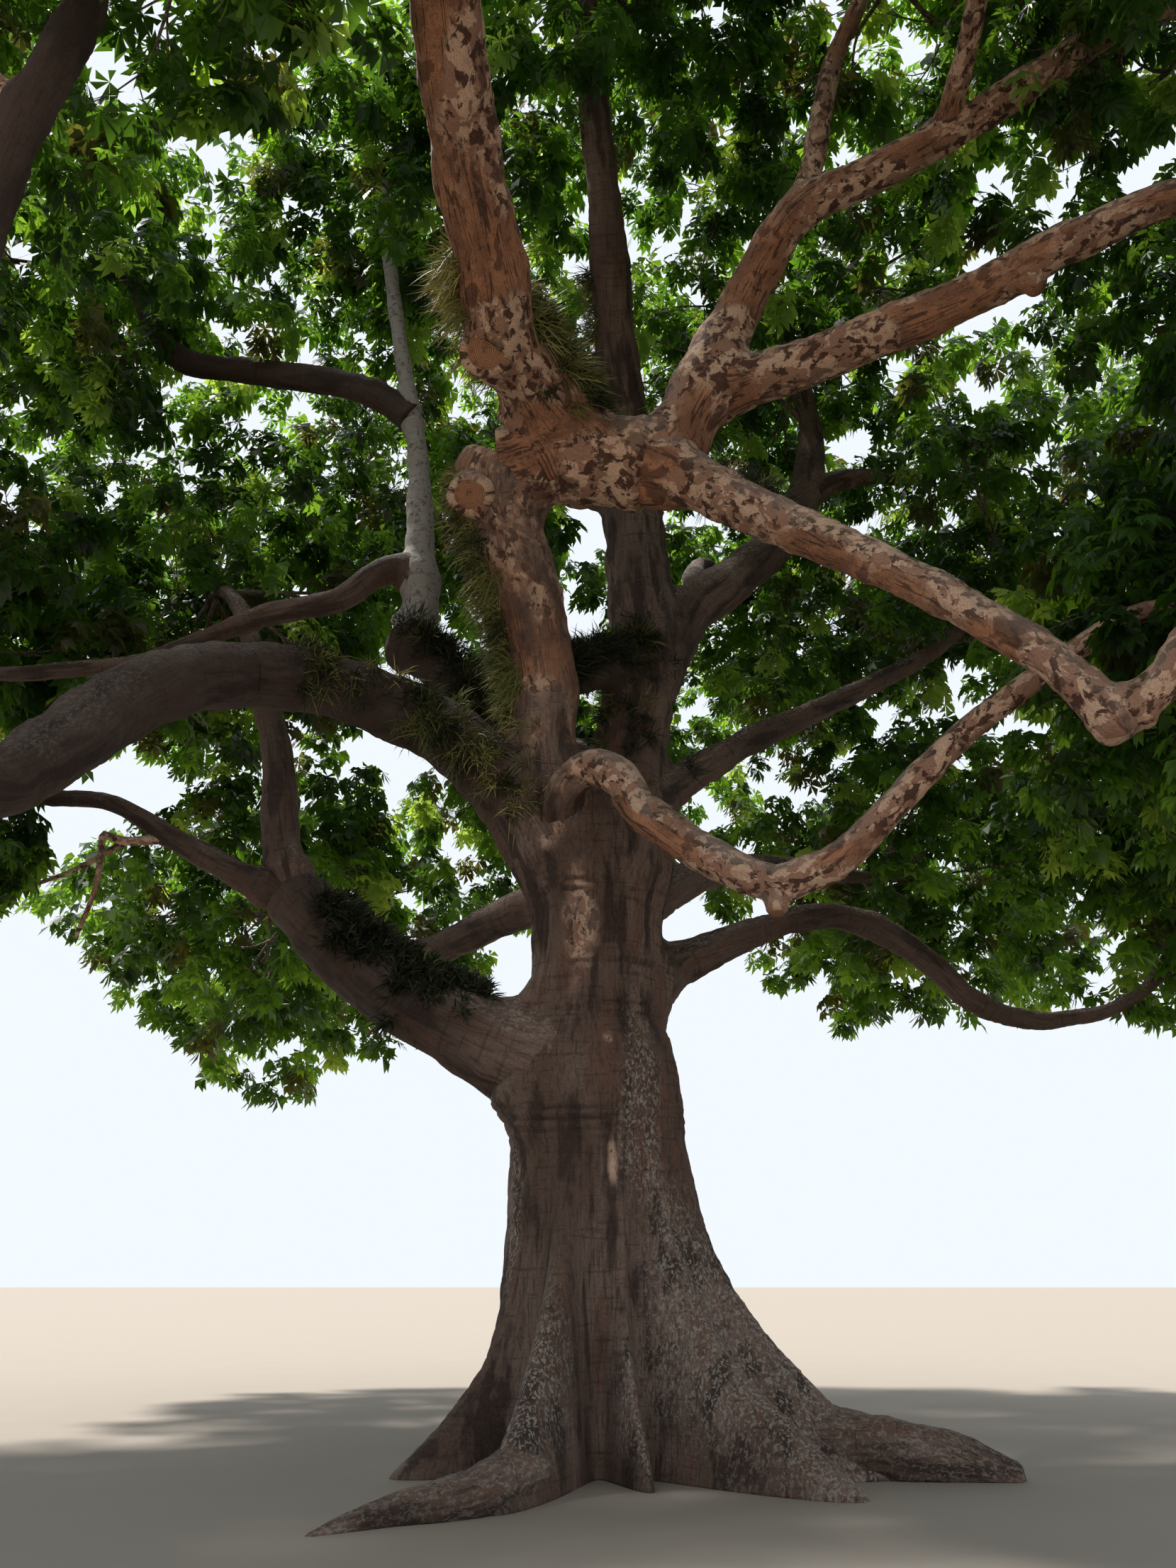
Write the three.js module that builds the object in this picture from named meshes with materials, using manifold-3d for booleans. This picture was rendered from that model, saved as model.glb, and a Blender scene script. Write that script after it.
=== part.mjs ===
// A very large kapok tree with a buttressed foot, heavy twisting boughs and a broad low crown.
// Millimetres, +Z up. The origin is on the level ground under the middle of the trunk, +X is to the
// right and +Y away from someone who stands in front of the tree.
import * as THREE from "three";
import { mergeVertices } from "three/addons/utils/BufferGeometryUtils.js";
import Module from "manifold-3d";

const wasm = await Module();
wasm.setup();

// Driving dimensions of the trunk

const GAP = 0.3;                      // clear space between two touching sub-parts
const TRUNK_HEIGHT = 7250;            // top of the crotch where the main boughs part
const TRUNK_LEAN = 0.02;              // sideways drift of the trunk's axis for each unit of height
const TRUNK_SIDES = 54;
const TRUNK_LEVELS = [0, 160, 400, 720, 1150, 1700, 2400, 3400, 4500, 5400, 6250, 6850, 7130];
// Height and radius of the round body of the trunk, without its buttresses
const TRUNK_BODY = [
  [0, 960], [1200, 900], [3100, 870], [4600, 715],
  [5400, 750], [6300, 860], [6850, 800], [7250, 480],
];
// Each buttress: heading round the trunk, reach at the ground, height scale of its curve and half width
// in degrees
const BUTTRESSES = [
  { heading: 343, reach: 3000, rise: 1250, width: 17 },
  { heading: 315, reach: 2950, rise: 1000, width: 11 },
  { heading: 287, reach: 1800, rise: 900, width: 6 },
  { heading: 255, reach: 2850, rise: 1150, width: 10 },
  { heading: 208, reach: 2000, rise: 650, width: 14 },
  { heading: 162, reach: 1750, rise: 600, width: 14 },
  { heading: 118, reach: 2500, rise: 1000, width: 12 },
  { heading: 72, reach: 2300, rise: 1000, width: 12 },
  { heading: 28, reach: 2500, rise: 1100, width: 14 },
];
const BUTTRESS_CURVE = 1.25;          // exponent of the buttress's falling curve
// Surface roots that run on from two buttresses: foot, girth [root, middle, tip] and legs
// [run, heading, climb]
const SURFACE_ROOTS = [
  { foot: [1900, -550, 210], girth: [820, 600, 230],
    legs: [[1000, 343, -3], [500, 345, -4], [550, 352, -13]] },
  { foot: [-520, -1950, 200], girth: [460, 340, 90],
    legs: [[800, 245, -5], [800, 215, -6], [600, 222, -8]] },
];
const GROUND_BLOCK = 20000;           // side of the block that trims the trunk at the ground

// Limbs. Each starts on the centreline of the sub-part that carries it: the trunk at a height, another limb
// at a share of its length. Its legs are [run, heading, climb], with heading 0 to the right, 90 to the back
// and 270 to the front. Girth is the diameter [root, tip] or [root, middle, tip].
const LIMBS = {
  left_low_bough: { on: "trunk", at: 3600, girth: [1150, 840, 720],
    legs: [[1200, 190, 20], [800, 176, 25], [1050, 170, 35], [1300, 166, 43]] },
  left_low_reach: { on: "left_low_bough", at: 0.95, girth: [430, 260, 180],
    legs: [[800, 189, 24], [850, 195, 26], [840, 195, 26], [650, 199, -3]] },
  left_low_riser: { on: "left_low_bough", at: 0.97, girth: [480, 390, 270],
    legs: [[700, 166, 72], [1200, 158, 79], [1500, 154, 71], [600, 150, 66]] },
  left_arch_bough: { on: "trunk", at: 6100, girth: [1060, 780, 740],
    legs: [[690, 190, 27], [890, 194, 47], [790, 194, 39], [920, 194, 22], [850, 201, 8],
      [880, 226, -16]] },
  left_arch_fall: { on: "left_arch_bough", at: 1, girth: [740, 660, 500],
    legs: [[1140, 248, -31], [1090, 256, -41], [1120, 266, -44], [800, 258, -44], [650, 255, -14]] },
  left_arch_riser: { on: "left_arch_fall", at: 1, girth: [500, 370, 320],
    legs: [[1400, 280, 35], [1300, 288, 68], [1900, 320, 79], [1500, 0, 80]] },
  left_arch_side: { on: "left_arch_riser", at: 0.84, girth: [240, 190],
    legs: [[900, 178, 42], [1500, 170, 28]] },
  front_stem: { on: "trunk", at: 6200, girth: [900, 760, 1060],
    legs: [[680, 195, 30], [770, 255, 73], [780, 263, 74], [1100, 248, 66], [700, 230, 61],
      [700, 245, 62], [380, 315, 55]] },
  front_crossing: { on: "front_stem", at: 0.97, girth: [860, 880, 800],
    legs: [[650, 351, 7], [610, 350, -12], [600, 355, -15]] },
  overhead_bough: { on: "front_crossing", at: 0.5, girth: [900, 700, 540],
    legs: [[620, 231, 38], [1140, 243, 7], [960, 262, 14], [1040, 262, 13], [1300, 268, 4],
      [1500, 270, 8]] },
  right_sweep_bough: { on: "front_crossing", at: 0.94, girth: [680, 410, 370],
    legs: [[560, 337, -34], [790, 329, -42], [1130, 322, -44], [1610, 316, -44], [1500, 314, -49],
      [1000, 322, -58]] },
  right_sweep_riser: { on: "right_sweep_bough", at: 0.975, girth: [330, 230],
    legs: [[450, 335, 32], [700, 315, 46], [1500, 322, 50], [1500, 325, 40]] },
  right_fork_stem: { on: "front_crossing", at: 0.9, girth: [800, 680],
    legs: [[480, 0, 46], [500, 349, 58], [590, 348, 67], [530, 344, 70]] },
  right_high_bough: { on: "right_fork_stem", at: 1, girth: [560, 430, 350],
    legs: [[850, 331, 59], [780, 316, 40], [420, 326, 16], [770, 337, 8], [1340, 333, 13],
      [1400, 334, 21]] },
  right_high_side: { on: "right_high_bough", at: 0.62, girth: [260, 190],
    legs: [[1200, 275, 20], [1500, 262, 15]] },
  right_upright: { on: "right_high_bough", at: 0.31, girth: [320, 210],
    legs: [[760, 345, 74], [1010, 335, 77], [660, 341, 76], [1000, 335, 65]] },
  right_mid_bough: { on: "right_fork_stem", at: 0.6, girth: [580, 470, 230],
    legs: [[440, 345, 4], [820, 331, -4], [880, 333, 6], [850, 324, -5], [1280, 315, -4],
      [780, 329, 2], [1400, 350, 12]] },
  back_stem: { on: "trunk", at: 6300, girth: [980, 900, 840],
    legs: [[820, 64, 32], [960, 60, 80], [900, 38, 79], [830, 35, 78], [860, 120, 82], [2300, 125, 85]] },
  top_leader: { on: "back_stem", at: 0.98, girth: [720, 540, 340],
    legs: [[900, 265, 80], [500, 245, 63], [820, 259, 42], [1590, 263, 41], [920, 259, 56],
      [1500, 258, 54]] },
  cross_limb: { on: "front_stem", at: 0.42, girth: [520, 580],
    legs: [[680, 64, 49], [710, 42, 32], [650, 46, 31], [360, 49, 45]] },
  back_right_bough: { on: "back_stem", at: 0.5, girth: [760, 640, 500],
    legs: [[560, 40, 50], [900, 37, 57], [690, 24, 45], [1950, 32, 47], [1080, 34, 60], [900, 49, 68]] },
  right_back_bough: { on: "trunk", at: 6600, girth: [580, 380, 270],
    legs: [[850, 50, 28], [1310, 29, 38], [980, 30, 36], [1210, 23, 31], [1950, 22, 32]] },
  right_hook_dip: { on: "trunk", at: 6350, girth: [350, 410, 360],
    legs: [[880, 240, 12], [350, 286, 26], [330, 320, 19], [400, 325, -29], [530, 319, -55],
      [590, 324, -44], [510, 322, -38], [510, 315, -34], [370, 323, -27]] },
  right_hook_rise: { on: "right_hook_dip", at: 1, girth: [350, 260, 200],
    legs: [[550, 338, 15], [810, 341, 41], [750, 339, 42], [790, 325, 28], [800, 330, 26]] },
  right_low_bough: { on: "trunk", at: 4500, girth: [900, 400, 350],
    legs: [[550, 22, 19], [590, 38, 33], [590, 22, 27], [660, 20, 24], [650, 19, 20],
      [490, 12, 9], [500, 12, -11]] },
  right_low_drop: { on: "right_low_bough", at: 1, girth: [350, 280, 190],
    legs: [[500, 13, -27], [490, 14, -34], [430, 18, -41], [470, 14, -27], [610, 10, -9], [680, 17, 8]] },
  elbow_bough: { on: "trunk", at: 6500, girth: [800, 600, 600],
    legs: [[1440, 176, 47], [610, 166, 46], [770, 166, 58], [650, 174, 42], [460, 173, 31]] },
  pale_stem: { on: "elbow_bough", at: 0.93, girth: [540, 260, 210],
    legs: [[610, 13, 82], [690, 144, 86], [610, 135, 83], [1120, 150, 85], [1110, 196, 80],
      [1400, 202, 79], [2300, 210, 80]] },
  left_mid_bough: { on: "pale_stem", at: 0.13, girth: [420, 260, 190],
    legs: [[370, 192, 23], [400, 207, -35], [540, 196, -46], [970, 189, -20], [990, 186, -29],
      [570, 186, -26], [1200, 189, -12]] },
  far_left_bough: { on: "pale_stem", at: 0.49, girth: [400, 380, 290],
    legs: [[870, 180, 36], [1830, 173, 17], [1130, 175, 15], [1130, 180, 53], [600, 182, 66]] },
  rear_left_bough: { on: "trunk", at: 5900, girth: [560, 370, 250],
    legs: [[1350, 145, -8], [1500, 135, -6], [1600, 130, 14], [1500, 128, 22]] },
  rear_bough: { on: "trunk", at: 6600, girth: [760, 480, 310],
    legs: [[1100, 105, 42], [2000, 95, 36], [2200, 86, 28], [1500, 82, 22]] },
  rear_right_bough: { on: "trunk", at: 5500, girth: [640, 420, 270],
    legs: [[1200, 60, 20], [1800, 52, 28], [2000, 48, 16], [1700, 52, 12]] },
  rear_high_left_bough: { on: "back_stem", at: 0.92, girth: [520, 380, 290],
    legs: [[1100, 140, 40], [1700, 136, 38], [1300, 132, 33]] },
  rear_high_right_bough: { on: "back_right_bough", at: 0.3, girth: [430, 280],
    legs: [[1300, 92, 45], [1800, 80, 40], [700, 76, 36]] },
};
const LIMB_RING_STEP = 1.55;          // distance between two rings of a limb, in root diameters
const LIMB_RING_LIMITS = [480, 900];  // shortest and longest such distance
const LIMB_LEAST_STEPS = 4;
const THICK_LIMB = 600;               // limbs at least this thick have the most sides
const THIN_LIMB = 330;                // limbs at most this thick have the fewest
const LIMB_SIDES = { thick: 8, middle: 7, thin: 5 };

// Masses of leaves. Each grows from the tip of the limb it is named after, round a centre. It keeps to an
// ellipsoid with the given half width and half height, and to the side of its centre where it meets another.
const MASSES = {
  left_low_reach: { centre: [-8900, -2400, 6200], across: 3400, high: 2100 },
  left_low_riser: { centre: [-6300, 3600, 11600], across: 3600, high: 2900 },
  left_arch_riser: { centre: [-3600, -8700, 12600], across: 3600, high: 2800 },
  left_arch_side: { centre: [-8000, -5700, 12300], across: 3800, high: 3000 },
  overhead_bough: { centre: [600, -9900, 13800], across: 3500, high: 2700 },
  right_sweep_riser: { centre: [7900, -7400, 9500], across: 3600, high: 2800 },
  right_high_bough: { centre: [8000, -3400, 14700], across: 4100, high: 3200 },
  right_high_side: { centre: [4200, -7900, 15600], across: 3600, high: 2800 },
  right_upright: { centre: [4500, -2300, 17800], across: 3700, high: 3000 },
  right_mid_bough: { centre: [9600, -2300, 11000], across: 3500, high: 2800 },
  top_leader: { centre: [500, -2900, 18400], across: 3700, high: 2900 },
  back_right_bough: { centre: [3300, 2600, 17100], across: 4200, high: 3200 },
  right_back_bough: { centre: [7400, 3300, 12900], across: 4100, high: 3500 },
  right_hook_rise: { centre: [6400, -3600, 7000], across: 2800, high: 2000 },
  right_low_drop: { centre: [8900, 2000, 6900], across: 3500, high: 2400 },
  pale_stem: { centre: [-2900, 700, 17900], across: 4000, high: 3200 },
  left_mid_bough: { centre: [-9200, 900, 9900], across: 3300, high: 2300 },
  far_left_bough: { centre: [-7700, 500, 15900], across: 4000, high: 3100 },
  rear_left_bough: { centre: [-5600, 6800, 7500], across: 4000, high: 3100 },
  rear_bough: { centre: [-300, 9000, 11100], across: 4200, high: 3100 },
  rear_right_bough: { centre: [5900, 7500, 8400], across: 3800, high: 2900 },
  rear_high_left_bough: { centre: [-3200, 5700, 15600], across: 4000, high: 3200 },
  rear_high_right_bough: { centre: [3400, 6600, 13500], across: 4000, high: 3400 },
};
const SEED_STEP = 1009;               // between the seeds of two masses
const LEAVES_PER_MASS = 14;
const LEAF_LENGTH = [2200, 2800];     // each leaf stands for a whole spray of the tree's hand-shaped leaves
const LEAF_WIDTH = 0.64;              // share of the length
const LEAF_THICKNESS = 0.05;          // share of the length
const LEAF_BROADEST = 0.45;           // share of the length from its root
const LEAF_SUNK = 0.42;               // how far its root runs on past the twig's centreline, in twig radii
const LEAF_DROOP = [10, 51];          // degrees below level
const LEAF_TURN = 200;                // degrees over which leaves fan out round the way their twig points
const LEAF_TILT = 40;                 // degrees over which a leaf's width leans
const TWIGS_PER_MASS = 6;
const TWIG_TRIES = 8;
const TWIG_TRIANGLES = 30;            // most triangles that one more twig may cost
const STEM_SIDES = 5;
const STEM_STEPS = 2;
const STEM_LEAD = 0.4;                // how far the stem aims straight on, as a share of the way to the centre
const STEM_RADIUS = 0.96;             // share of the limb's radius at its tip
const STEM_TAPER = 0.85;              // radius at the stem's end as a share of that at its start
const TWIG_SIDES = 3;
const TWIG_SHORTENING = 0.1;          // step by which a twig without room is made shorter, as its reach
const TWIG_SAMPLES = 8;               // points along a twig where its room is tested
const TWIG_FIRST_SAMPLE = 3;          // first of them that has to lie in the mass's own space
const TWIG_RADIUS = [0.62, 0.5];      // at its root and at its tip, as shares of the stem's radius
const TWIG_RADIUS_LIMITS = [48, 80];
const TWIG_ROOTS = [0.35, 0.97];      // place of the first and of the last twig, as shares of the stem
const TWIG_REACH = [0.5, 0.8];        // nearest and furthest twig tip, as a share of the mass's half sizes
const LEAF_PLACES = [0.4, 0.96];      // first and last place of a leaf, as a share of the twig's length
const LEAF_TRIES = 500;               // places tried for the leaves of one mass
const LEAF_TRIANGLES = 24;            // most triangles that one more leaf may cost
const LIMB_CLEARANCE = 90;            // least space between foliage and a limb
const SPACE_CLEARANCE = 40;           // least space to the border with the next mass
const CLEARANCE_STEP = 220;           // distance between the points where clearance is tested

// Angles and seeded numbers

const rad = THREE.MathUtils.degToRad;
const GOLDEN_ANGLE = 137.508;

function direction(heading, climb) {
  const level = Math.cos(rad(climb));
  return new THREE.Vector3(level * Math.cos(rad(heading)), level * Math.sin(rad(heading)),
    Math.sin(rad(climb)));
}

// Turn from one heading to another, from -180 to 180 degrees
function turnBetween(from, to) {
  return THREE.MathUtils.euclideanModulo(to - from + 180, 360) - 180;
}

// Numbers from 0 to 1 that are the same on every run: a 32-bit counter stirred by multiplying and shifting.
// The constants are those of the published mulberry32 generator.
function seededNumbers(seed) {
  let state = seed >>> 0;
  return () => {
    state = (state + 0x6d2b79f5) >>> 0;
    let mixed = Math.imul(state ^ (state >>> 15), state | 1);
    mixed ^= mixed + Math.imul(mixed ^ (mixed >>> 7), mixed | 61);
    return ((mixed ^ (mixed >>> 14)) >>> 0) / 4294967296;
  };
}

// Solids: every closed mesh becomes a manifold solid for joining and cutting, and a geometry again at the
// end

function solidFrom(positions, triangles) {
  const mesh = new wasm.Mesh({
    numProp: 3,
    vertProperties: Float32Array.from(positions),
    triVerts: Uint32Array.from(triangles),
  });
  return new wasm.Manifold(mesh);
}

function solidFromGeometry(geometry) {
  geometry.deleteAttribute("normal");
  geometry.deleteAttribute("uv");
  const merged = mergeVertices(geometry);
  return solidFrom(merged.attributes.position.array, merged.index.array);
}

// Groups a mesh's triangles into the shells that hang together
function shellsOf(triangles, vertexCount) {
  const leader = Array.from({ length: vertexCount }, (unused, i) => i);
  const find = (i) => {
    while (leader[i] !== i) {
      leader[i] = leader[leader[i]];
      i = leader[i];
    }
    return i;
  };
  for (let t = 0; t < triangles.length; t += 3) {
    leader[find(triangles[t])] = find(triangles[t + 1]);
    leader[find(triangles[t + 1])] = find(triangles[t + 2]);
  }
  const shells = new Map();
  for (let t = 0; t < triangles.length; t += 3) {
    const key = find(triangles[t]);
    if (!shells.has(key)) shells.set(key, []);
    shells.get(key).push(triangles[t], triangles[t + 1], triangles[t + 2]);
  }
  return [...shells.values()];
}

function shellVolume(positions, triangles) {
  const corner = (i) => new THREE.Vector3().fromArray(positions, 3 * triangles[i]);
  let volume = 0;
  for (let t = 0; t < triangles.length; t += 3) {
    volume += corner(t).dot(corner(t + 1).cross(corner(t + 2))) / 6;
  }
  return volume;
}

// The largest outer shell of a solid: loose scraps are dropped and sealed hollows are filled
function mainBody(solid) {
  const mesh = solid.getMesh();
  const positions = mesh.vertProperties;
  const shells = shellsOf(mesh.triVerts, positions.length / 3);
  shells.sort((a, b) => shellVolume(positions, b) - shellVolume(positions, a));
  const numbers = new Map();
  const kept = [];
  const triangles = shells[0].map((i) => {
    if (!numbers.has(i)) {
      numbers.set(i, numbers.size);
      kept.push(positions[3 * i], positions[3 * i + 1], positions[3 * i + 2]);
    }
    return numbers.get(i);
  });
  return { positions: kept, triangles };
}

function geometryFrom({ positions, triangles }) {
  const geometry = new THREE.BufferGeometry();
  geometry.setAttribute("position", new THREE.Float32BufferAttribute(positions, 3));
  geometry.setIndex(triangles);
  geometry.computeVertexNormals();
  return geometry;
}

// Closes a stack of rings of equal size, with a point in the middle of each end where one is given
function closedRings(rings, foot, top) {
  const sides = rings[0].length;
  const positions = rings.flat().flatMap((p) => p.toArray());
  const triangles = [];
  for (let i = 0; i + 1 < rings.length; i += 1) {
    for (let j = 0; j < sides; j += 1) {
      const here = i * sides + j;
      const beside = i * sides + (j + 1) % sides;
      triangles.push(here, beside, beside + sides, here, beside + sides, here + sides);
    }
  }
  const last = (rings.length - 1) * sides;
  if (!foot) {
    for (let j = 1; j + 1 < sides; j += 1) {
      triangles.push(0, j + 1, j, last, last + j, last + j + 1);
    }
    return solidFrom(positions, triangles);
  }
  const footIndex = positions.length / 3;
  positions.push(...foot.toArray(), ...top.toArray());
  for (let j = 0; j < sides; j += 1) {
    const next = (j + 1) % sides;
    triangles.push(footIndex, next, j, footIndex + 1, last + j, last + next);
  }
  return solidFrom(positions, triangles);
}

// Routes and tapering tubes

function legPoints(start, legs) {
  const points = [start];
  for (const [run, heading, climb] of legs) {
    points.push(points.at(-1).clone().addScaledVector(direction(heading, climb), run));
  }
  return points;
}

function smoothRoute(points) {
  return new THREE.CatmullRomCurve3(points, false, "centripetal");
}

// Diameter at a share of a limb's length: straight between two values, a parabola through three
function girthAt(girth, share) {
  if (girth.length === 2) return THREE.MathUtils.lerp(girth[0], girth[1], share);
  const [root, middle, tip] = girth;
  const rest = 1 - share;
  return root * rest * (1 - 2 * share) + 4 * middle * share * rest + tip * share * (2 * share - 1);
}

function taperedTube(route, radiusAt, sides, steps, growth = 0) {
  const frames = route.computeFrenetFrames(steps, false);
  const rings = [];
  for (let i = 0; i <= steps; i += 1) {
    const share = i / steps;
    const radius = radiusAt(share) + growth;
    const overshoot = i === 0 ? -growth : i === steps ? growth : 0;
    const centre = route.getPointAt(share).addScaledVector(frames.tangents[i], overshoot);
    rings.push(Array.from({ length: sides }, (unused, j) => {
      const turn = 2 * Math.PI * j / sides;
      return centre.clone()
        .addScaledVector(frames.normals[i], radius * Math.cos(turn))
        .addScaledVector(frames.binormals[i], radius * Math.sin(turn));
    }));
  }
  return closedRings(rings);
}

// Trunk: a round body with buttresses that swell out towards the ground

function trunkAxis(height) {
  return new THREE.Vector3(TRUNK_LEAN * height, 0, height);
}

function bodyRadius(height) {
  const above = Math.max(1, TRUNK_BODY.findIndex(([level]) => level >= height));
  const [lowLevel, lowRadius] = TRUNK_BODY[above - 1];
  const [highLevel, highRadius] = TRUNK_BODY[above];
  const share = THREE.MathUtils.smoothstep(height, lowLevel, highLevel);
  return THREE.MathUtils.lerp(lowRadius, highRadius, share);
}

function trunkRadius(heading, height) {
  const body = bodyRadius(height);
  const swell = BUTTRESSES.map((buttress) => {
    const aside = turnBetween(buttress.heading, heading);
    const across = Math.exp(-((aside / buttress.width) ** 2));
    const upward = Math.exp(-((height / buttress.rise) ** BUTTRESS_CURVE));
    return (buttress.reach - body) * across * upward;
  });
  return body + swell.reduce((sum, one) => sum + one, 0);
}

function trunkBody(growth = 0) {
  const rings = TRUNK_LEVELS.map((height) => Array.from({ length: TRUNK_SIDES }, (unused, j) => {
    const heading = 360 * j / TRUNK_SIDES;
    return trunkAxis(height).addScaledVector(direction(heading, 0), trunkRadius(heading, height) + growth);
  }));
  return closedRings(rings, trunkAxis(0), trunkAxis(TRUNK_HEIGHT + growth));
}

function surfaceRoot({ foot, legs, girth }) {
  const route = smoothRoute(legPoints(new THREE.Vector3(...foot), legs));
  return taperedTube(route, (share) => girthAt(girth, share) / 2, LIMB_SIDES.middle, 2 * legs.length);
}

// A block under the ground that trims whatever reaches below it
function belowGround() {
  const block = new THREE.BoxGeometry(GROUND_BLOCK, GROUND_BLOCK, GROUND_BLOCK);
  block.translate(0, 0, -GROUND_BLOCK / 2);
  return solidFromGeometry(block);
}

function trunkWithRoots() {
  const roots = SURFACE_ROOTS.map(surfaceRoot);
  return roots.reduce((whole, root) => whole.add(root), trunkBody()).subtract(belowGround());
}

// Limbs

const routes = new Map();

function footOf(limb) {
  if (limb.on === "trunk") return trunkAxis(limb.at);
  return routes.get(limb.on).getPointAt(limb.at);
}

for (const [name, limb] of Object.entries(LIMBS)) {
  routes.set(name, smoothRoute(legPoints(footOf(limb), limb.legs)));
}

function limbSides(limb) {
  if (limb.girth[0] >= THICK_LIMB) return LIMB_SIDES.thick;
  return limb.girth[0] <= THIN_LIMB ? LIMB_SIDES.thin : LIMB_SIDES.middle;
}

function limbTube(name, growth = 0) {
  const limb = LIMBS[name];
  const route = routes.get(name);
  const step = THREE.MathUtils.clamp(LIMB_RING_STEP * limb.girth[0], ...LIMB_RING_LIMITS);
  const steps = Math.max(LIMB_LEAST_STEPS, Math.round(route.getLength() / step));
  return taperedTube(route, (share) => girthAt(limb.girth, share) / 2, limbSides(limb), steps, growth);
}

function boxesMeet(a, b) {
  const first = a.boundingBox();
  const second = b.boundingBox();
  return [0, 1, 2].every((axis) => (
    first.min[axis] <= second.max[axis] && second.min[axis] <= first.max[axis]
  ));
}

// Each limb is cut clear of the trunk and of every limb listed before it
function cutLimbs() {
  const cutters = [trunkBody(GAP)];
  const bodies = new Map();
  for (const name of Object.keys(LIMBS)) {
    let solid = limbTube(name);
    for (const cutter of cutters.filter((one) => boxesMeet(one, solid))) {
      solid = solid.subtract(cutter);
    }
    bodies.set(name, mainBody(solid));
    cutters.push(limbTube(name, GAP));
  }
  return bodies;
}

// Clearance of foliage: points along every limb, each with the limb's radius there

function limbPoints() {
  const points = [];
  for (const [name, limb] of Object.entries(LIMBS)) {
    const route = routes.get(name);
    const count = Math.ceil(route.getLength() / (CLEARANCE_STEP / 2));
    for (let i = 0; i <= count; i += 1) {
      points.push({ name, at: route.getPointAt(i / count), radius: girthAt(limb.girth, i / count) / 2 });
    }
  }
  return points;
}

const LIMB_POINTS = limbPoints();
const MASS_CENTRES = Object.values(MASSES).map((mass) => new THREE.Vector3(...mass.centre));

// Whether a point is in the mass's own space: in its ellipsoid and nearer to its centre than to any other
function inOwnSpace(point, index) {
  const mass = Object.values(MASSES)[index];
  const away = point.clone().sub(MASS_CENTRES[index]);
  if (Math.hypot(away.x / mass.across, away.y / mass.across, away.z / mass.high) > 1) return false;
  return MASS_CENTRES.every((other, i) => {
    if (i === index) return true;
    const between = other.clone().sub(MASS_CENTRES[index]);
    return away.dot(between) / between.length() < between.length() / 2 - SPACE_CLEARANCE;
  });
}

function clearOfLimbs(points, ownLimb) {
  return points.every((point) => LIMB_POINTS.every(({ name, at, radius }) => {
    if (name === ownLimb) return true;
    return point.distanceTo(at) > radius + LIMB_CLEARANCE + CLEARANCE_STEP / 4;
  }));
}

// Points on a triangle's or a line's corners and between them, close enough for the clearance test
function pointsBetween(a, b) {
  const count = Math.ceil(a.distanceTo(b) / CLEARANCE_STEP);
  return Array.from({ length: count + 1 }, (unused, i) => a.clone().lerp(b, i / count));
}

// A leaf: a diamond, flat below and rising to a low point above, six faces in all
function leafCorners(root, along, across, length) {
  const up = new THREE.Vector3().crossVectors(along, across);
  const middle = root.clone().addScaledVector(along, LEAF_BROADEST * length);
  const halfWidth = LEAF_WIDTH * length / 2;
  return [
    root,
    middle.clone().addScaledVector(across, -halfWidth),
    root.clone().addScaledVector(along, length),
    middle.clone().addScaledVector(across, halfWidth),
    middle.clone().addScaledVector(up, LEAF_THICKNESS * length),
  ];
}

const LEAF_FACES = [0, 1, 4, 1, 2, 4, 2, 3, 4, 3, 0, 4, 0, 3, 2, 0, 2, 1];

function leafSamples(corners) {
  const [root, left, tip, right] = corners;
  return [left, right].flatMap((side) => pointsBetween(root, side).concat(pointsBetween(side, tip)))
    .concat(pointsBetween(left, right), pointsBetween(root, tip));
}

function twigSolid(route, radii) {
  return taperedTube(route, (share) => THREE.MathUtils.lerp(radii[0], radii[1], share), TWIG_SIDES, 1);
}

// The stem that runs on from the limb's flat tip, a hair clear of it, to the middle of the mass
function massStem(name, centre) {
  const route = routes.get(name);
  const heading = route.getTangentAt(1);
  const start = route.getPointAt(1).addScaledVector(heading, GAP);
  const bend = start.clone().addScaledVector(heading, STEM_LEAD * start.distanceTo(centre));
  return new THREE.QuadraticBezierCurve3(start, bend, centre);
}

// A direction out of a spiral that spreads evenly over a sphere
function spreadDirection(index, count, turn) {
  const height = 1 - (2 * index + 1) / count;
  const level = Math.sqrt(1 - height * height);
  const angle = rad(GOLDEN_ANGLE * index + turn);
  return new THREE.Vector3(level * Math.cos(angle), level * Math.sin(angle), height);
}

function twigTip(mass, centre, outward, share) {
  const half = new THREE.Vector3(mass.across, mass.across, mass.high);
  return centre.clone().add(outward.clone().multiply(half).multiplyScalar(share));
}

// Shortens a twig until its tip is in the mass's own space and clear of limbs, or gives up
function fittedTwig(name, index, start, outward, reach) {
  for (let share = reach; share > TWIG_REACH[0] / 2; share -= TWIG_SHORTENING) {
    const tip = twigTip(MASSES[name], MASS_CENTRES[index], outward, share);
    const route = new THREE.LineCurve3(start, tip);
    const samples = route.getSpacedPoints(TWIG_SAMPLES);
    const inside = samples.slice(TWIG_FIRST_SAMPLE).every((point) => inOwnSpace(point, index));
    if (inside && clearOfLimbs(samples, name)) return route;
  }
  return null;
}

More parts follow.
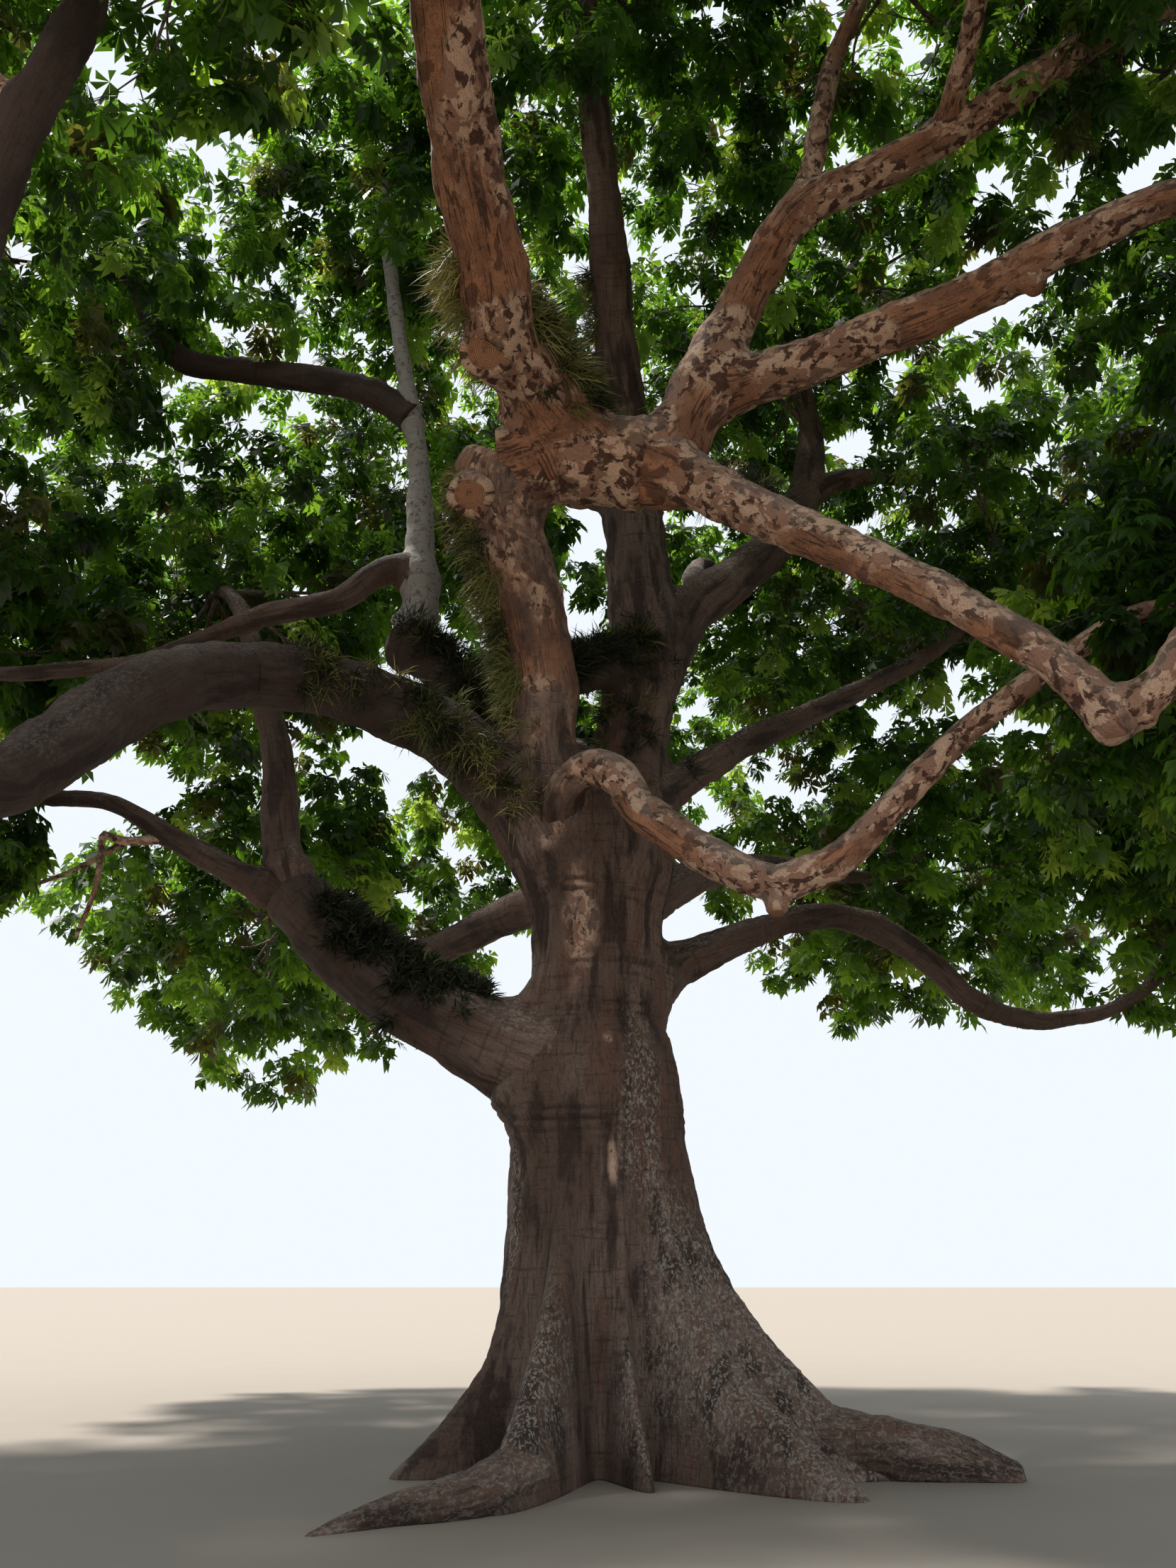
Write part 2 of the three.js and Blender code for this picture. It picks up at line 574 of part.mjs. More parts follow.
function leafAt(route, radii, share, random, index) {
  const root = route.getPointAt(share);
  const sunk = LEAF_SUNK * THREE.MathUtils.lerp(...radii, share);
  const forward = route.getTangentAt(share);
  const twigHeading = THREE.MathUtils.radToDeg(Math.atan2(forward.y, forward.x));
  const heading = twigHeading + LEAF_TURN * (random() - 0.5);
  const along = direction(heading, -THREE.MathUtils.lerp(...LEAF_DROOP, random()));
  const level = direction(heading + 90, LEAF_TILT * (random() - 0.5));
  const across = level.addScaledVector(along, -level.dot(along)).normalize();
  const length = THREE.MathUtils.lerp(...LEAF_LENGTH, random());
  const corners = leafCorners(root.addScaledVector(along, -sunk), along, across, length);
  const fits = corners.slice(1).every((corner) => inOwnSpace(corner, index));
  if (!fits || !clearOfLimbs(leafSamples(corners), null)) return null;
  return solidFrom(corners.flatMap((corner) => corner.toArray()), LEAF_FACES);
}

function apart(one, other) {
  return !boxesMeet(one, other) || one.intersect(other).isEmpty();
}

// The two solids as one where their seam is a simple one, and nothing where it would take many slivers
function joined(whole, piece, mostNewTriangles) {
  const both = whole.add(piece);
  return both.numTri() - whole.numTri() <= mostNewTriangles ? both : null;
}

// Adds the twigs to the stem: { whole, twigs }, each twig with its route and its solid
function withTwigs(stemSolid, stem, radii, name, index, random) {
  let whole = stemSolid;
  const twigs = [];
  for (let i = 0; i < TWIGS_PER_MASS; i += 1) {
    const start = stem.getPointAt(THREE.MathUtils.lerp(...TWIG_ROOTS, i / (TWIGS_PER_MASS - 1)));
    for (let attempt = 0; attempt < TWIG_TRIES && twigs.length <= i; attempt += 1) {
      const outward = spreadDirection(i, TWIGS_PER_MASS, 360 * random());
      const reach = THREE.MathUtils.lerp(...TWIG_REACH, random());
      const route = fittedTwig(name, index, start, outward, reach);
      const both = route && joined(whole, twigSolid(route, radii), TWIG_TRIANGLES);
      if (both) {
        whole = both;
        twigs.push({ route, solid: twigSolid(route, radii) });
      }
    }
  }
  return { whole, twigs };
}

// Adds leaves, first one at each twig's tip and then one after another along the twigs
function withLeaves(twigged, stemSolid, radii, index, random) {
  let { whole } = twigged;
  const { twigs } = twigged;
  const leaves = [];
  for (let attempt = 0; attempt < LEAF_TRIES && leaves.length < LEAVES_PER_MASS; attempt += 1) {
    const own = twigs[attempt % twigs.length];
    const atTip = attempt < twigs.length;
    const share = atTip ? LEAF_PLACES[1] : THREE.MathUtils.lerp(...LEAF_PLACES, random());
    const leaf = leafAt(own.route, radii, share, random, index);
    const otherTwigs = twigs.filter((twig) => twig !== own).map((twig) => twig.solid);
    const free = leaf && [stemSolid, ...otherTwigs, ...leaves].every((other) => apart(leaf, other));
    const both = free && joined(whole, leaf, LEAF_TRIANGLES);
    if (both) {
      whole = both;
      leaves.push(leaf);
    }
  }
  return whole;
}

function leafMass(name, index) {
  const random = seededNumbers(SEED_STEP * (index + 1));
  const stemRadius = STEM_RADIUS * girthAt(LIMBS[name].girth, 1) / 2;
  const twigRadii = TWIG_RADIUS.map((share) => (
    THREE.MathUtils.clamp(share * stemRadius, ...TWIG_RADIUS_LIMITS)
  ));
  const stem = massStem(name, MASS_CENTRES[index]);
  const radiusAt = (share) => stemRadius * THREE.MathUtils.lerp(1, STEM_TAPER, share);
  const stemSolid = taperedTube(stem, radiusAt, STEM_SIDES, STEM_STEPS);
  const twigged = withTwigs(stemSolid, stem, twigRadii, name, index, random);
  return mainBody(withLeaves(twigged, stemSolid, twigRadii, index, random));
}

// Materials

function bark(color) {
  return new THREE.MeshStandardMaterial({ color, roughness: 0.92, metalness: 0 });
}

function foliage(color) {
  return new THREE.MeshStandardMaterial({ color, roughness: 0.6, metalness: 0, side: THREE.DoubleSide });
}

const TRUNK_COLOUR = 0x5b4a42;
const BOUGH_COLOUR = 0x8c6448;
const PALE_BARK_COLOUR = 0xa39a92;
const LEAF_COLOURS = [0x2f4d1e, 0x3f6b2a, 0x4a7a2c];

function named(name, body, material) {
  const mesh = new THREE.Mesh(geometryFrom(body), material);
  mesh.name = name;
  return mesh;
}

// The whole tree

const group = new THREE.Group();
group.add(named("trunk", mainBody(trunkWithRoots()), bark(TRUNK_COLOUR)));
for (const [name, body] of cutLimbs()) {
  group.add(named(name, body, bark(name === "pale_stem" ? PALE_BARK_COLOUR : BOUGH_COLOUR)));
}
Object.keys(MASSES).forEach((name, index) => {
  const colour = LEAF_COLOURS[index % LEAF_COLOURS.length];
  group.add(named(`leaves_${name}`, leafMass(name, index), foliage(colour)));
});

export default group;
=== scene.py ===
"""A very large kapok tree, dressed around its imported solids.

Metres, +Z up. The origin is on the ground under the trunk, +X is to the right and +Y away from someone who
stands in front of the tree. Trunk and limbs repeat the sizes that their solids were made from, in
millimetres, and every twig, leaf and tuft grows from them by rule.
"""
import itertools
import math
from dataclasses import dataclass

import bpy
import numpy as np
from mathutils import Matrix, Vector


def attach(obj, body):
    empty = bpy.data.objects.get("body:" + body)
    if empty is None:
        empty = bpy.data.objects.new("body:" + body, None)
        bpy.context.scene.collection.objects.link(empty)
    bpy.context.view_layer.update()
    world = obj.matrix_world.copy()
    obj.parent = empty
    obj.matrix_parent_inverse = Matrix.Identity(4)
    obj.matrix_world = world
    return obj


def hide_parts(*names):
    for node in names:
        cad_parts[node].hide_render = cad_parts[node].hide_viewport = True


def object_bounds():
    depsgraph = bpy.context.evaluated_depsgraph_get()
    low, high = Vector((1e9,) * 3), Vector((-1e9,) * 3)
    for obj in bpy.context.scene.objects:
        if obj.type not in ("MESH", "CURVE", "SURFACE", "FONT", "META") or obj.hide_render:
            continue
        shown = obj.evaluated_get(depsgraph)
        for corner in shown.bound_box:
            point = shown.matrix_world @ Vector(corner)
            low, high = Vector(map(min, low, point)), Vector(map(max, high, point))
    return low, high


bl_info = {
    "name": "Kapok Tree",
    "version": (1, 0, 0),
    "blender": (4, 5, 0),
    "location": "View3D > Sidebar > Kapok",
    "description": "Bark, twigs, leaves and hanging tufts for the solids of a very large kapok tree",
    "category": "Add Mesh",
}

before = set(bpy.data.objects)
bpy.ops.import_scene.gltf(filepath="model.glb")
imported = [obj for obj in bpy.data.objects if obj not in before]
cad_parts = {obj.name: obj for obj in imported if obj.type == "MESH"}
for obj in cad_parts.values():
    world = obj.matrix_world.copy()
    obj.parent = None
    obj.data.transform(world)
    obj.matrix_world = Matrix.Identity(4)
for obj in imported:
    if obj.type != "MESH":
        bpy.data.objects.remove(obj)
CAD_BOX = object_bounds()
MM = 0.001
GOLDEN_ANGLE = 137.508
UP = np.array([0.0, 0.0, 1.0])
LEVEL = np.array([1.0, 1.0, 0.0])
# Added to a cross product, so that it points somewhere even where it would be nothing
NOT_ZERO = 1e-6

# Trunk, as its solid: heights and radii of the round body, then the buttresses

TRUNK_HEIGHT = 7250 * MM
TRUNK_LEAN = 0.02
TRUNK_BODY = np.array([
    [0, 960], [1200, 900], [3100, 870], [4600, 715],
    [5400, 750], [6300, 860], [6850, 800], [7250, 480],
]) * MM
# Heading round the trunk, reach at the ground, height scale of the falling curve, half width in degrees
BUTTRESSES = (
    (343, 3000, 1250, 17),
    (315, 2950, 1000, 11),
    (287, 1800, 900, 6),
    (255, 2850, 1150, 10),
    (208, 2000, 650, 14),
    (162, 1750, 600, 14),
    (118, 2500, 1000, 12),
    (72, 2300, 1000, 12),
    (28, 2500, 1100, 14),
)
BUTTRESS_CURVE = 1.25
# Foot, diameters and legs of the two roots that run on over the ground
SURFACE_ROOTS = (
    ((1900, -550, 210), (820, 600, 230), ((1000, 343, -3), (500, 345, -4), (550, 352, -13))),
    ((-520, -1950, 200), (460, 340, 90), ((800, 245, -5), (800, 215, -6), (600, 222, -8))),
)


def limb(on, at, girth, *legs):
    """One limb of the table below.

    It starts on the centreline of what carries it, at a height on the trunk or at a share of another limb.
    Its girth is the diameter at the root, perhaps at the middle, and at the tip. A leg is a run, its heading
    and its climb in degrees.
    """
    return {"on": on, "at": at, "girth": girth, "legs": legs}


LIMBS = {
    "left_low_bough": limb("trunk", 3600, (1150, 840, 720),
        (1200, 190, 20), (800, 176, 25), (1050, 170, 35), (1300, 166, 43)),
    "left_low_reach": limb("left_low_bough", 0.95, (430, 260, 180),
        (800, 189, 24), (850, 195, 26), (840, 195, 26), (650, 199, -3)),
    "left_low_riser": limb("left_low_bough", 0.97, (480, 390, 270),
        (700, 166, 72), (1200, 158, 79), (1500, 154, 71), (600, 150, 66)),
    "left_arch_bough": limb("trunk", 6100, (1060, 780, 740),
        (690, 190, 27), (890, 194, 47), (790, 194, 39), (920, 194, 22), (850, 201, 8), (880, 226, -16)),
    "left_arch_fall": limb("left_arch_bough", 1, (740, 660, 500),
        (1140, 248, -31), (1090, 256, -41), (1120, 266, -44), (800, 258, -44), (650, 255, -14)),
    "left_arch_riser": limb("left_arch_fall", 1, (500, 370, 320),
        (1400, 280, 35), (1300, 288, 68), (1900, 320, 79), (1500, 0, 80)),
    "left_arch_side": limb("left_arch_riser", 0.84, (240, 190),
        (900, 178, 42), (1500, 170, 28)),
    "front_stem": limb("trunk", 6200, (900, 760, 1060),
        (680, 195, 30), (770, 255, 73), (780, 263, 74), (1100, 248, 66), (700, 230, 61), (700, 245, 62),
        (380, 315, 55)),
    "front_crossing": limb("front_stem", 0.97, (860, 880, 800),
        (650, 351, 7), (610, 350, -12), (600, 355, -15)),
    "overhead_bough": limb("front_crossing", 0.5, (900, 700, 540),
        (620, 231, 38), (1140, 243, 7), (960, 262, 14), (1040, 262, 13), (1300, 268, 4), (1500, 270, 8)),
    "right_sweep_bough": limb("front_crossing", 0.94, (680, 410, 370),
        (560, 337, -34), (790, 329, -42), (1130, 322, -44), (1610, 316, -44), (1500, 314, -49),
        (1000, 322, -58)),
    "right_sweep_riser": limb("right_sweep_bough", 0.975, (330, 230),
        (450, 335, 32), (700, 315, 46), (1500, 322, 50), (1500, 325, 40)),
    "right_fork_stem": limb("front_crossing", 0.9, (800, 680),
        (480, 0, 46), (500, 349, 58), (590, 348, 67), (530, 344, 70)),
    "right_high_bough": limb("right_fork_stem", 1, (560, 430, 350),
        (850, 331, 59), (780, 316, 40), (420, 326, 16), (770, 337, 8), (1340, 333, 13), (1400, 334, 21)),
    "right_high_side": limb("right_high_bough", 0.62, (260, 190),
        (1200, 275, 20), (1500, 262, 15)),
    "right_upright": limb("right_high_bough", 0.31, (320, 210),
        (760, 345, 74), (1010, 335, 77), (660, 341, 76), (1000, 335, 65)),
    "right_mid_bough": limb("right_fork_stem", 0.6, (580, 470, 230),
        (440, 345, 4), (820, 331, -4), (880, 333, 6), (850, 324, -5), (1280, 315, -4), (780, 329, 2),
        (1400, 350, 12)),
    "back_stem": limb("trunk", 6300, (980, 900, 840),
        (820, 64, 32), (960, 60, 80), (900, 38, 79), (830, 35, 78), (860, 120, 82), (2300, 125, 85)),
    "top_leader": limb("back_stem", 0.98, (720, 540, 340),
        (900, 265, 80), (500, 245, 63), (820, 259, 42), (1590, 263, 41), (920, 259, 56), (1500, 258, 54)),
    "cross_limb": limb("front_stem", 0.42, (520, 580),
        (680, 64, 49), (710, 42, 32), (650, 46, 31), (360, 49, 45)),
    "back_right_bough": limb("back_stem", 0.5, (760, 640, 500),
        (560, 40, 50), (900, 37, 57), (690, 24, 45), (1950, 32, 47), (1080, 34, 60), (900, 49, 68)),
    "right_back_bough": limb("trunk", 6600, (580, 380, 270),
        (850, 50, 28), (1310, 29, 38), (980, 30, 36), (1210, 23, 31), (1950, 22, 32)),
    "right_hook_dip": limb("trunk", 6350, (350, 410, 360),
        (880, 240, 12), (350, 286, 26), (330, 320, 19), (400, 325, -29), (530, 319, -55),
        (590, 324, -44), (510, 322, -38), (510, 315, -34), (370, 323, -27)),
    "right_hook_rise": limb("right_hook_dip", 1, (350, 260, 200),
        (550, 338, 15), (810, 341, 41), (750, 339, 42), (790, 325, 28), (800, 330, 26)),
    "right_low_bough": limb("trunk", 4500, (900, 400, 350),
        (550, 22, 19), (590, 38, 33), (590, 22, 27), (660, 20, 24), (650, 19, 20), (490, 12, 9),
        (500, 12, -11)),
    "right_low_drop": limb("right_low_bough", 1, (350, 280, 190),
        (500, 13, -27), (490, 14, -34), (430, 18, -41), (470, 14, -27), (610, 10, -9), (680, 17, 8)),
    "elbow_bough": limb("trunk", 6500, (800, 600, 600),
        (1440, 176, 47), (610, 166, 46), (770, 166, 58), (650, 174, 42), (460, 173, 31)),
    "pale_stem": limb("elbow_bough", 0.93, (540, 260, 210),
        (610, 13, 82), (690, 144, 86), (610, 135, 83), (1120, 150, 85), (1110, 196, 80),
        (1400, 202, 79), (2300, 210, 80)),
    "left_mid_bough": limb("pale_stem", 0.13, (420, 260, 190),
        (370, 192, 23), (400, 207, -35), (540, 196, -46), (970, 189, -20), (990, 186, -29),
        (570, 186, -26), (1200, 189, -12)),
    "far_left_bough": limb("pale_stem", 0.49, (400, 380, 290),
        (870, 180, 36), (1830, 173, 17), (1130, 175, 15), (1130, 180, 53), (600, 182, 66)),
    "rear_left_bough": limb("trunk", 5900, (560, 370, 250),
        (1350, 145, -8), (1500, 135, -6), (1600, 130, 14), (1500, 128, 22)),
    "rear_bough": limb("trunk", 6600, (760, 480, 310),
        (1100, 105, 42), (2000, 95, 36), (2200, 86, 28), (1500, 82, 22)),
    "rear_right_bough": limb("trunk", 5500, (640, 420, 270),
        (1200, 60, 20), (1800, 52, 28), (2000, 48, 16), (1700, 52, 12)),
    "rear_high_left_bough": limb("back_stem", 0.92, (520, 380, 290),
        (1100, 140, 40), (1700, 136, 38), (1300, 132, 33)),
    "rear_high_right_bough": limb("back_right_bough", 0.3, (430, 280),
        (1300, 92, 45), (1800, 80, 40), (700, 76, 36)),
}

# Thin bare branches, in the same form
BRANCHES = {
    "left_low_spur": limb("left_low_reach", 0.53, (130, 85),
        (500, 198, -12), (260, 216, 7)),
    "left_low_hang": limb("left_low_spur", 1, (85, 45),
        (700, 300, -80), (580, 160, -74)),
    "left_low_twig": limb("left_low_spur", 0.66, (75, 35),
        (750, 159, -21), (970, 168, -15)),
}

# Sawn stubs of lost limbs, in the same form; each ends in a flat cut
STUBS = {
    "front_stub": limb("front_stem", 0.9, (400, 420), (330, 205, -8), (430, 268, -36)),
    "overhead_stub": limb("overhead_bough", 0.24, (430, 450), (320, 200, -28), (430, 272, -40)),
    "right_mid_stub": limb("right_mid_bough", 0.56, (200, 190), (430, 323, -55)),
    "hook_stub": limb("right_hook_dip", 0.99, (230, 180), (330, 262, -75)),
    "back_right_stub": limb("back_right_bough", 0.87, (380, 280, 230),
        (600, 355, 24), (530, 5, 15), (1100, 0, -3)),
}
ALL_LIMBS = {**LIMBS, **BRANCHES, **STUBS}

# Masses of leaves, as in the solids: centre, half width and half height of each one's space
MASSES = {
    "left_low_reach": ((-8900, -2400, 6200), 3400, 2100),
    "left_low_riser": ((-6300, 3600, 11600), 3600, 2900),
    "left_arch_riser": ((-3600, -8700, 12600), 3600, 2800),
    "left_arch_side": ((-8000, -5700, 12300), 3800, 3000),
    "overhead_bough": ((600, -9900, 13800), 3500, 2700),
    "right_sweep_riser": ((7900, -7400, 9500), 3600, 2800),
    "right_high_bough": ((8000, -3400, 14700), 4100, 3200),
    "right_high_side": ((4200, -7900, 15600), 3600, 2800),
    "right_upright": ((4500, -2300, 17800), 3700, 3000),
    "right_mid_bough": ((9600, -2300, 11000), 3500, 2800),
    "top_leader": ((500, -2900, 18400), 3700, 2900),
    "back_right_bough": ((3300, 2600, 17100), 4200, 3200),
    "right_back_bough": ((7400, 3300, 12900), 4100, 3500),
    "right_hook_rise": ((6400, -3600, 7000), 2800, 2000),
    "right_low_drop": ((8900, 2000, 6900), 3500, 2400),
    "pale_stem": ((-2900, 700, 17900), 4000, 3200),
    "left_mid_bough": ((-9200, 900, 9900), 3300, 2300),
    "far_left_bough": ((-7700, 500, 15900), 4000, 3100),
    "rear_left_bough": ((-5600, 6800, 7500), 4000, 3100),
    "rear_bough": ((-300, 9000, 11100), 4200, 3100),
    "rear_right_bough": ((5900, 7500, 8400), 3800, 2900),
    "rear_high_left_bough": ((-3200, 5700, 15600), 4000, 3200),
    "rear_high_right_bough": ((3400, 6600, 13500), 4000, 3400),
}
MASS_CENTRES = np.array([centre for centre, across, high in MASSES.values()]) * MM
MASS_HALVES = np.array([(across, across, high) for centre, across, high in MASSES.values()]) * MM


# Colours and settings

def from_hex(code):
    """An sRGB hex colour as linear red, green and blue."""
    channels = np.array([int(code[i:i + 2], 16) for i in (1, 3, 5)]) / 255
    return tuple(np.where(channels <= 0.04045, channels / 12.92, ((channels + 0.055) / 1.055) ** 2.4))


def length_setting(name, description, default):
    """A setting for a size in metres."""
    return bpy.props.FloatProperty(name=name, description=description, default=default, min=0, unit="LENGTH")


def colour_setting(name, description, code):
    """A setting for a colour, its default given as a hex code."""
    return bpy.props.FloatVectorProperty(
        name=name, description=description, default=from_hex(code), size=3, min=0, max=1, subtype="COLOR")


class KapokBark(bpy.types.PropertyGroup):
    ring_spacing: length_setting("Ring spacing", "Distance between two rings of a bough's skin", 0.05)
    side_spacing: length_setting("Side spacing", "Width of one face round a bough's skin", 0.045)
    lump_height: bpy.props.FloatProperty(
        name="Lumps", description="Height of a bough's lumps, as a share of its radius", default=0.13, min=0)
    plate_height: length_setting("Plates", "Thickness of the flakes on a bough", 0.009)
    fissure_depth: length_setting("Fissures", "Depth of the trunk's upright fissures", 0.016)
    old_colour: colour_setting("Old bark", "Purple-brown bark of the trunk", "#5f4a3e")
    # Streaks and cracks, and also the painted shade on shaded boughs and in the trunk's creases
    streak_and_shade_colour: colour_setting("Streaks", "Dark streaks and cracks", "#2a1d17")
    under_colour: colour_setting("Under bark", "Dark red-brown bark under the flakes", "#492b1e")
    flake_colour: colour_setting("Flakes", "Buff flakes on the boughs", "#cfab91")
    tan_colour: colour_setting("Tan flakes", "Tan flakes on the boughs", "#9e7762")
    smooth_colour: colour_setting("Smooth bark", "Smooth orange bark with long cracks", "#b07b5b")
    lichen_colour: colour_setting("Lichen", "Grey crust on old bark", "#9b9187")


class KapokFoliage(bpy.types.PropertyGroup):
    primary_twigs: bpy.props.IntProperty(
        name="Main twigs", description="Main twigs of each mass of leaves", default=12, min=1)
    leaves_per_twig: bpy.props.IntProperty(
        name="Leaves", description="Leaves on each last twig", default=12, min=1)
    leaflet_length: length_setting("Leaflet", "Length of a leaf's longest leaflet", 0.215)
    leaflet_width: bpy.props.FloatProperty(
        name="Leaflet width", description="Width of a leaflet as a share of its length", default=0.38, min=0)
    petiole: length_setting("Leaf stalk", "Length of a leaf's stalk", 0.17)
    droop: bpy.props.FloatProperty(
        name="Droop", description="How far a leaf hangs below level", default=math.radians(48),
        subtype="ANGLE")


class KapokTufts(bpy.types.PropertyGroup):
    blades: bpy.props.IntProperty(
        name="Blades", description="Blades of grass in each tuft on the boughs", default=40, min=1)


class KapokStage(bpy.types.PropertyGroup):
    floor_colour: colour_setting("Floor", "Plain pale floor", "#978d82")
    sky_colour: colour_setting("Sky", "Plain pale surroundings", "#e9f0f6")
    sky_strength: bpy.props.FloatProperty(
        name="Sky strength", description="Brightness of the surroundings", default=1.1, min=0)
    sun_strength: bpy.props.FloatProperty(
        name="Key strength", description="Brightness of the soft key light", default=6.0, min=0)


# Vectors and noise

NO_LENGTH = 1e-12


def unit(vectors):
    """Vectors brought to length 1."""
    return vectors / np.maximum(np.linalg.norm(vectors, axis=-1, keepdims=True), NO_LENGTH)


def mixed(first, second, share):
    """From first, at share 0, straight to second, at share 1."""
    return first + (second - first) * share


def smooth_step(value, low, high):
    """0 below low, 1 above high, and 3t^2 - 2t^3 between."""
    t = np.clip((value - low) / (high - low), 0, 1)
    return t * t * (3 - 2 * t)


def heading_vector(heading, climb=0.0):
    """Unit vector at a heading round the upright axis and a climb above level, both in degrees."""
    heading, climb = np.radians(heading), np.radians(climb)
    level = np.cos(climb)
    return np.stack([level * np.cos(heading), level * np.sin(heading), np.sin(climb) + 0 * heading], axis=-1)


def turn_from(heading, facing):
    """Degrees from the way that something faces to a heading, from -180 to 180."""
    return (heading - facing + 180) % 360 - 180


SLOPE_COUNT = 256
NOISE_GAIN = 1.6
# Large primes that stir a corner's coordinates into one number, and the shifts that stir it again
CORNER_PRIMES = (73856093, 19349663, 83492791)
STIR_PRIME = 1274126177
STIR_SHIFTS = (13, 16)
FOLD_SHARPNESS = 5


def noise(points, seed=0):
    """Gradient noise from about -1 to 1.

    Each whole-number corner of space has a slope picked by a stirred sum of its coordinates. The eight
    slopes round a point are mixed by the curve 6t^5 - 15t^4 + 10t^3.
    """
    slopes = unit(np.random.default_rng(seed).normal(size=(SLOPE_COUNT, 3)))
    cell = np.floor(points).astype(np.int64)
    inside = points - cell
    mix = inside ** 3 * (inside * (inside * 6 - 15) + 10)
    total = np.zeros(points.shape[:-1])
    for corner in itertools.product((0, 1), repeat=3):
        step = np.array(corner)
        at = cell + step
        x, y, z = (at[..., k] * prime for k, prime in enumerate(CORNER_PRIMES))
        key = x ^ y ^ z
        key = (key ^ (key >> STIR_SHIFTS[0])) * STIR_PRIME
        slope = slopes[(key ^ (key >> STIR_SHIFTS[1])) % SLOPE_COUNT]
        weight = np.where(step == 1, mix, 1 - mix).prod(axis=-1)
        total += weight * (slope * (inside - step)).sum(axis=-1)
    return NOISE_GAIN * total


def folds(points, seed=0):
    """Sharp furrows: 0 between them and 1 at the bottom of each, where the noise changes sign."""
    return np.clip(1 - FOLD_SHARPNESS * np.abs(noise(points, seed)), 0, 1)


# Routes of the limbs

ROUTE_STEPS = 14


def trunk_axis(height):
    """Point of the trunk's leaning axis at a height."""
    return np.array([TRUNK_LEAN * height, 0, height])


def smooth_route(points):
    """A centripetal Catmull-Rom curve through the points.

    Knot gaps are square roots of the distances, the slopes at both ends of a span come from the spans beside
    it, and a cubic joins them. A mirrored point is added beyond each end.
    """
    padded = np.vstack([2 * points[0] - points[1], points, 2 * points[-1] - points[-2]])
    gaps = np.linalg.norm(np.diff(padded, axis=0), axis=1) ** 0.5
    t = np.linspace(0, 1, ROUTE_STEPS, endpoint=False)[:, None]
    spans = []
    for i in range(len(points) - 1):
        a, b, c, d = padded[i:i + 4]
        before, here, after = gaps[i:i + 3]
        leave = ((b - a) / before - (c - a) / (before + here) + (c - b) / here) * here
        arrive = ((c - b) / here - (d - b) / (here + after) + (d - c) / after) * here
        spans.append(b + leave * t + (3 * (c - b) - 2 * leave - arrive) * t ** 2
                     + (2 * (b - c) + leave + arrive) * t ** 3)
    return np.vstack([*spans, points[-1:]])


def lengths_along(route):
    """Length from the start of a route to each of its points: the sum of its steps."""
    return np.concatenate([[0], np.cumsum(np.linalg.norm(np.diff(route, axis=0), axis=1))])


def resampled(route, values, at):
    """Values carried along a route, read at the given lengths from its start."""
    along = lengths_along(route)
    return np.stack([np.interp(at, along, column) for column in np.atleast_2d(values.T)], axis=-1)


def point_at(route, share):
    """Point of a route at a share of its length."""
    return resampled(route, route, [share * lengths_along(route)[-1]])[0]


def leg_route(foot, legs):
    """A smooth route from a foot through the end of each leg in turn."""
    run, heading, climb = np.array(legs, float).T
    steps = run[:, None] * MM * heading_vector(heading, climb)
    return smooth_route(np.vstack([foot, foot + np.cumsum(steps, axis=0)]))


def limb_routes():
    """The centreline of every limb, branch and stub, each from its place on what carries it."""
    routes = {}
    for name, one in ALL_LIMBS.items():
        foot = trunk_axis(one["at"] * MM) if one["on"] == "trunk" else point_at(routes[one["on"]], one["at"])
        routes[name] = leg_route(foot, one["legs"])
    return routes


def radii_along(girth, route):
    """Radius along a route: straight between two diameters, a parabola through three."""
    t = lengths_along(route) / lengths_along(route)[-1]
    if len(girth) == 2:
        return mixed(girth[0], girth[1], t) / 2 * MM
    root, middle, tip = girth
    return (root * (1 - t) * (1 - 2 * t) + 4 * middle * t * (1 - t) + tip * t * (2 * t - 1)) / 2 * MM


# Boughs: limbs that grow on end to end are one bough, which runs on as the stem of its mass of leaves

# A stem: how far it runs on straight, how far past its mass's centre, and its radius there and at the tip
STEM_LEAD = 0.4
STEM_BEYOND = 0.45
STEM_AT_CENTRE = 0.34
STEM_TIP_RADIUS = 0.012
STEPS_TO_CENTRE = 28
STEPS_BEYOND = 6
RADIUS_SMOOTHING = 9
SAME_PLACE = 1e-6


@dataclass
class Bough:
    """Centre points and radii ring by ring, the limbs that it stands for and the mass that it carries."""
    name: str
    limbs: list
    centres: np.ndarray
    radii: np.ndarray
    mass: str | None
    stem_start: int
    is_cut: bool


def curve_points(start, bend, end, t):
    """Points of a quadratic curve: (1-t)^2 start + 2t(1-t) bend + t^2 end."""
    return (1 - t) ** 2 * start + 2 * t * (1 - t) * bend + t ** 2 * end


def mass_stem(route, name):
    """The stem from a limb's tip to the middle of its mass and on beyond it, as in the solids."""
    centre = MASS_CENTRES[list(MASSES).index(name)]
    start = route[-1]
    heading = unit(route[-1] - route[-2])
    bend = start + heading * STEM_LEAD * np.linalg.norm(centre - start)
    inner = curve_points(start, bend, centre, np.linspace(0, 1, STEPS_TO_CENTRE)[1:, None])
    across = MASSES[name][1]
    steps = np.linspace(0, 1, STEPS_BEYOND)[1:, None]
    return inner, centre + unit(centre - bend) * STEM_BEYOND * across * MM * steps


def follower_of(name):
    """The limb that grows on from this one's tip, if any."""
    return next((other for other, one in ALL_LIMBS.items() if one["on"] == name and one["at"] == 1), None)


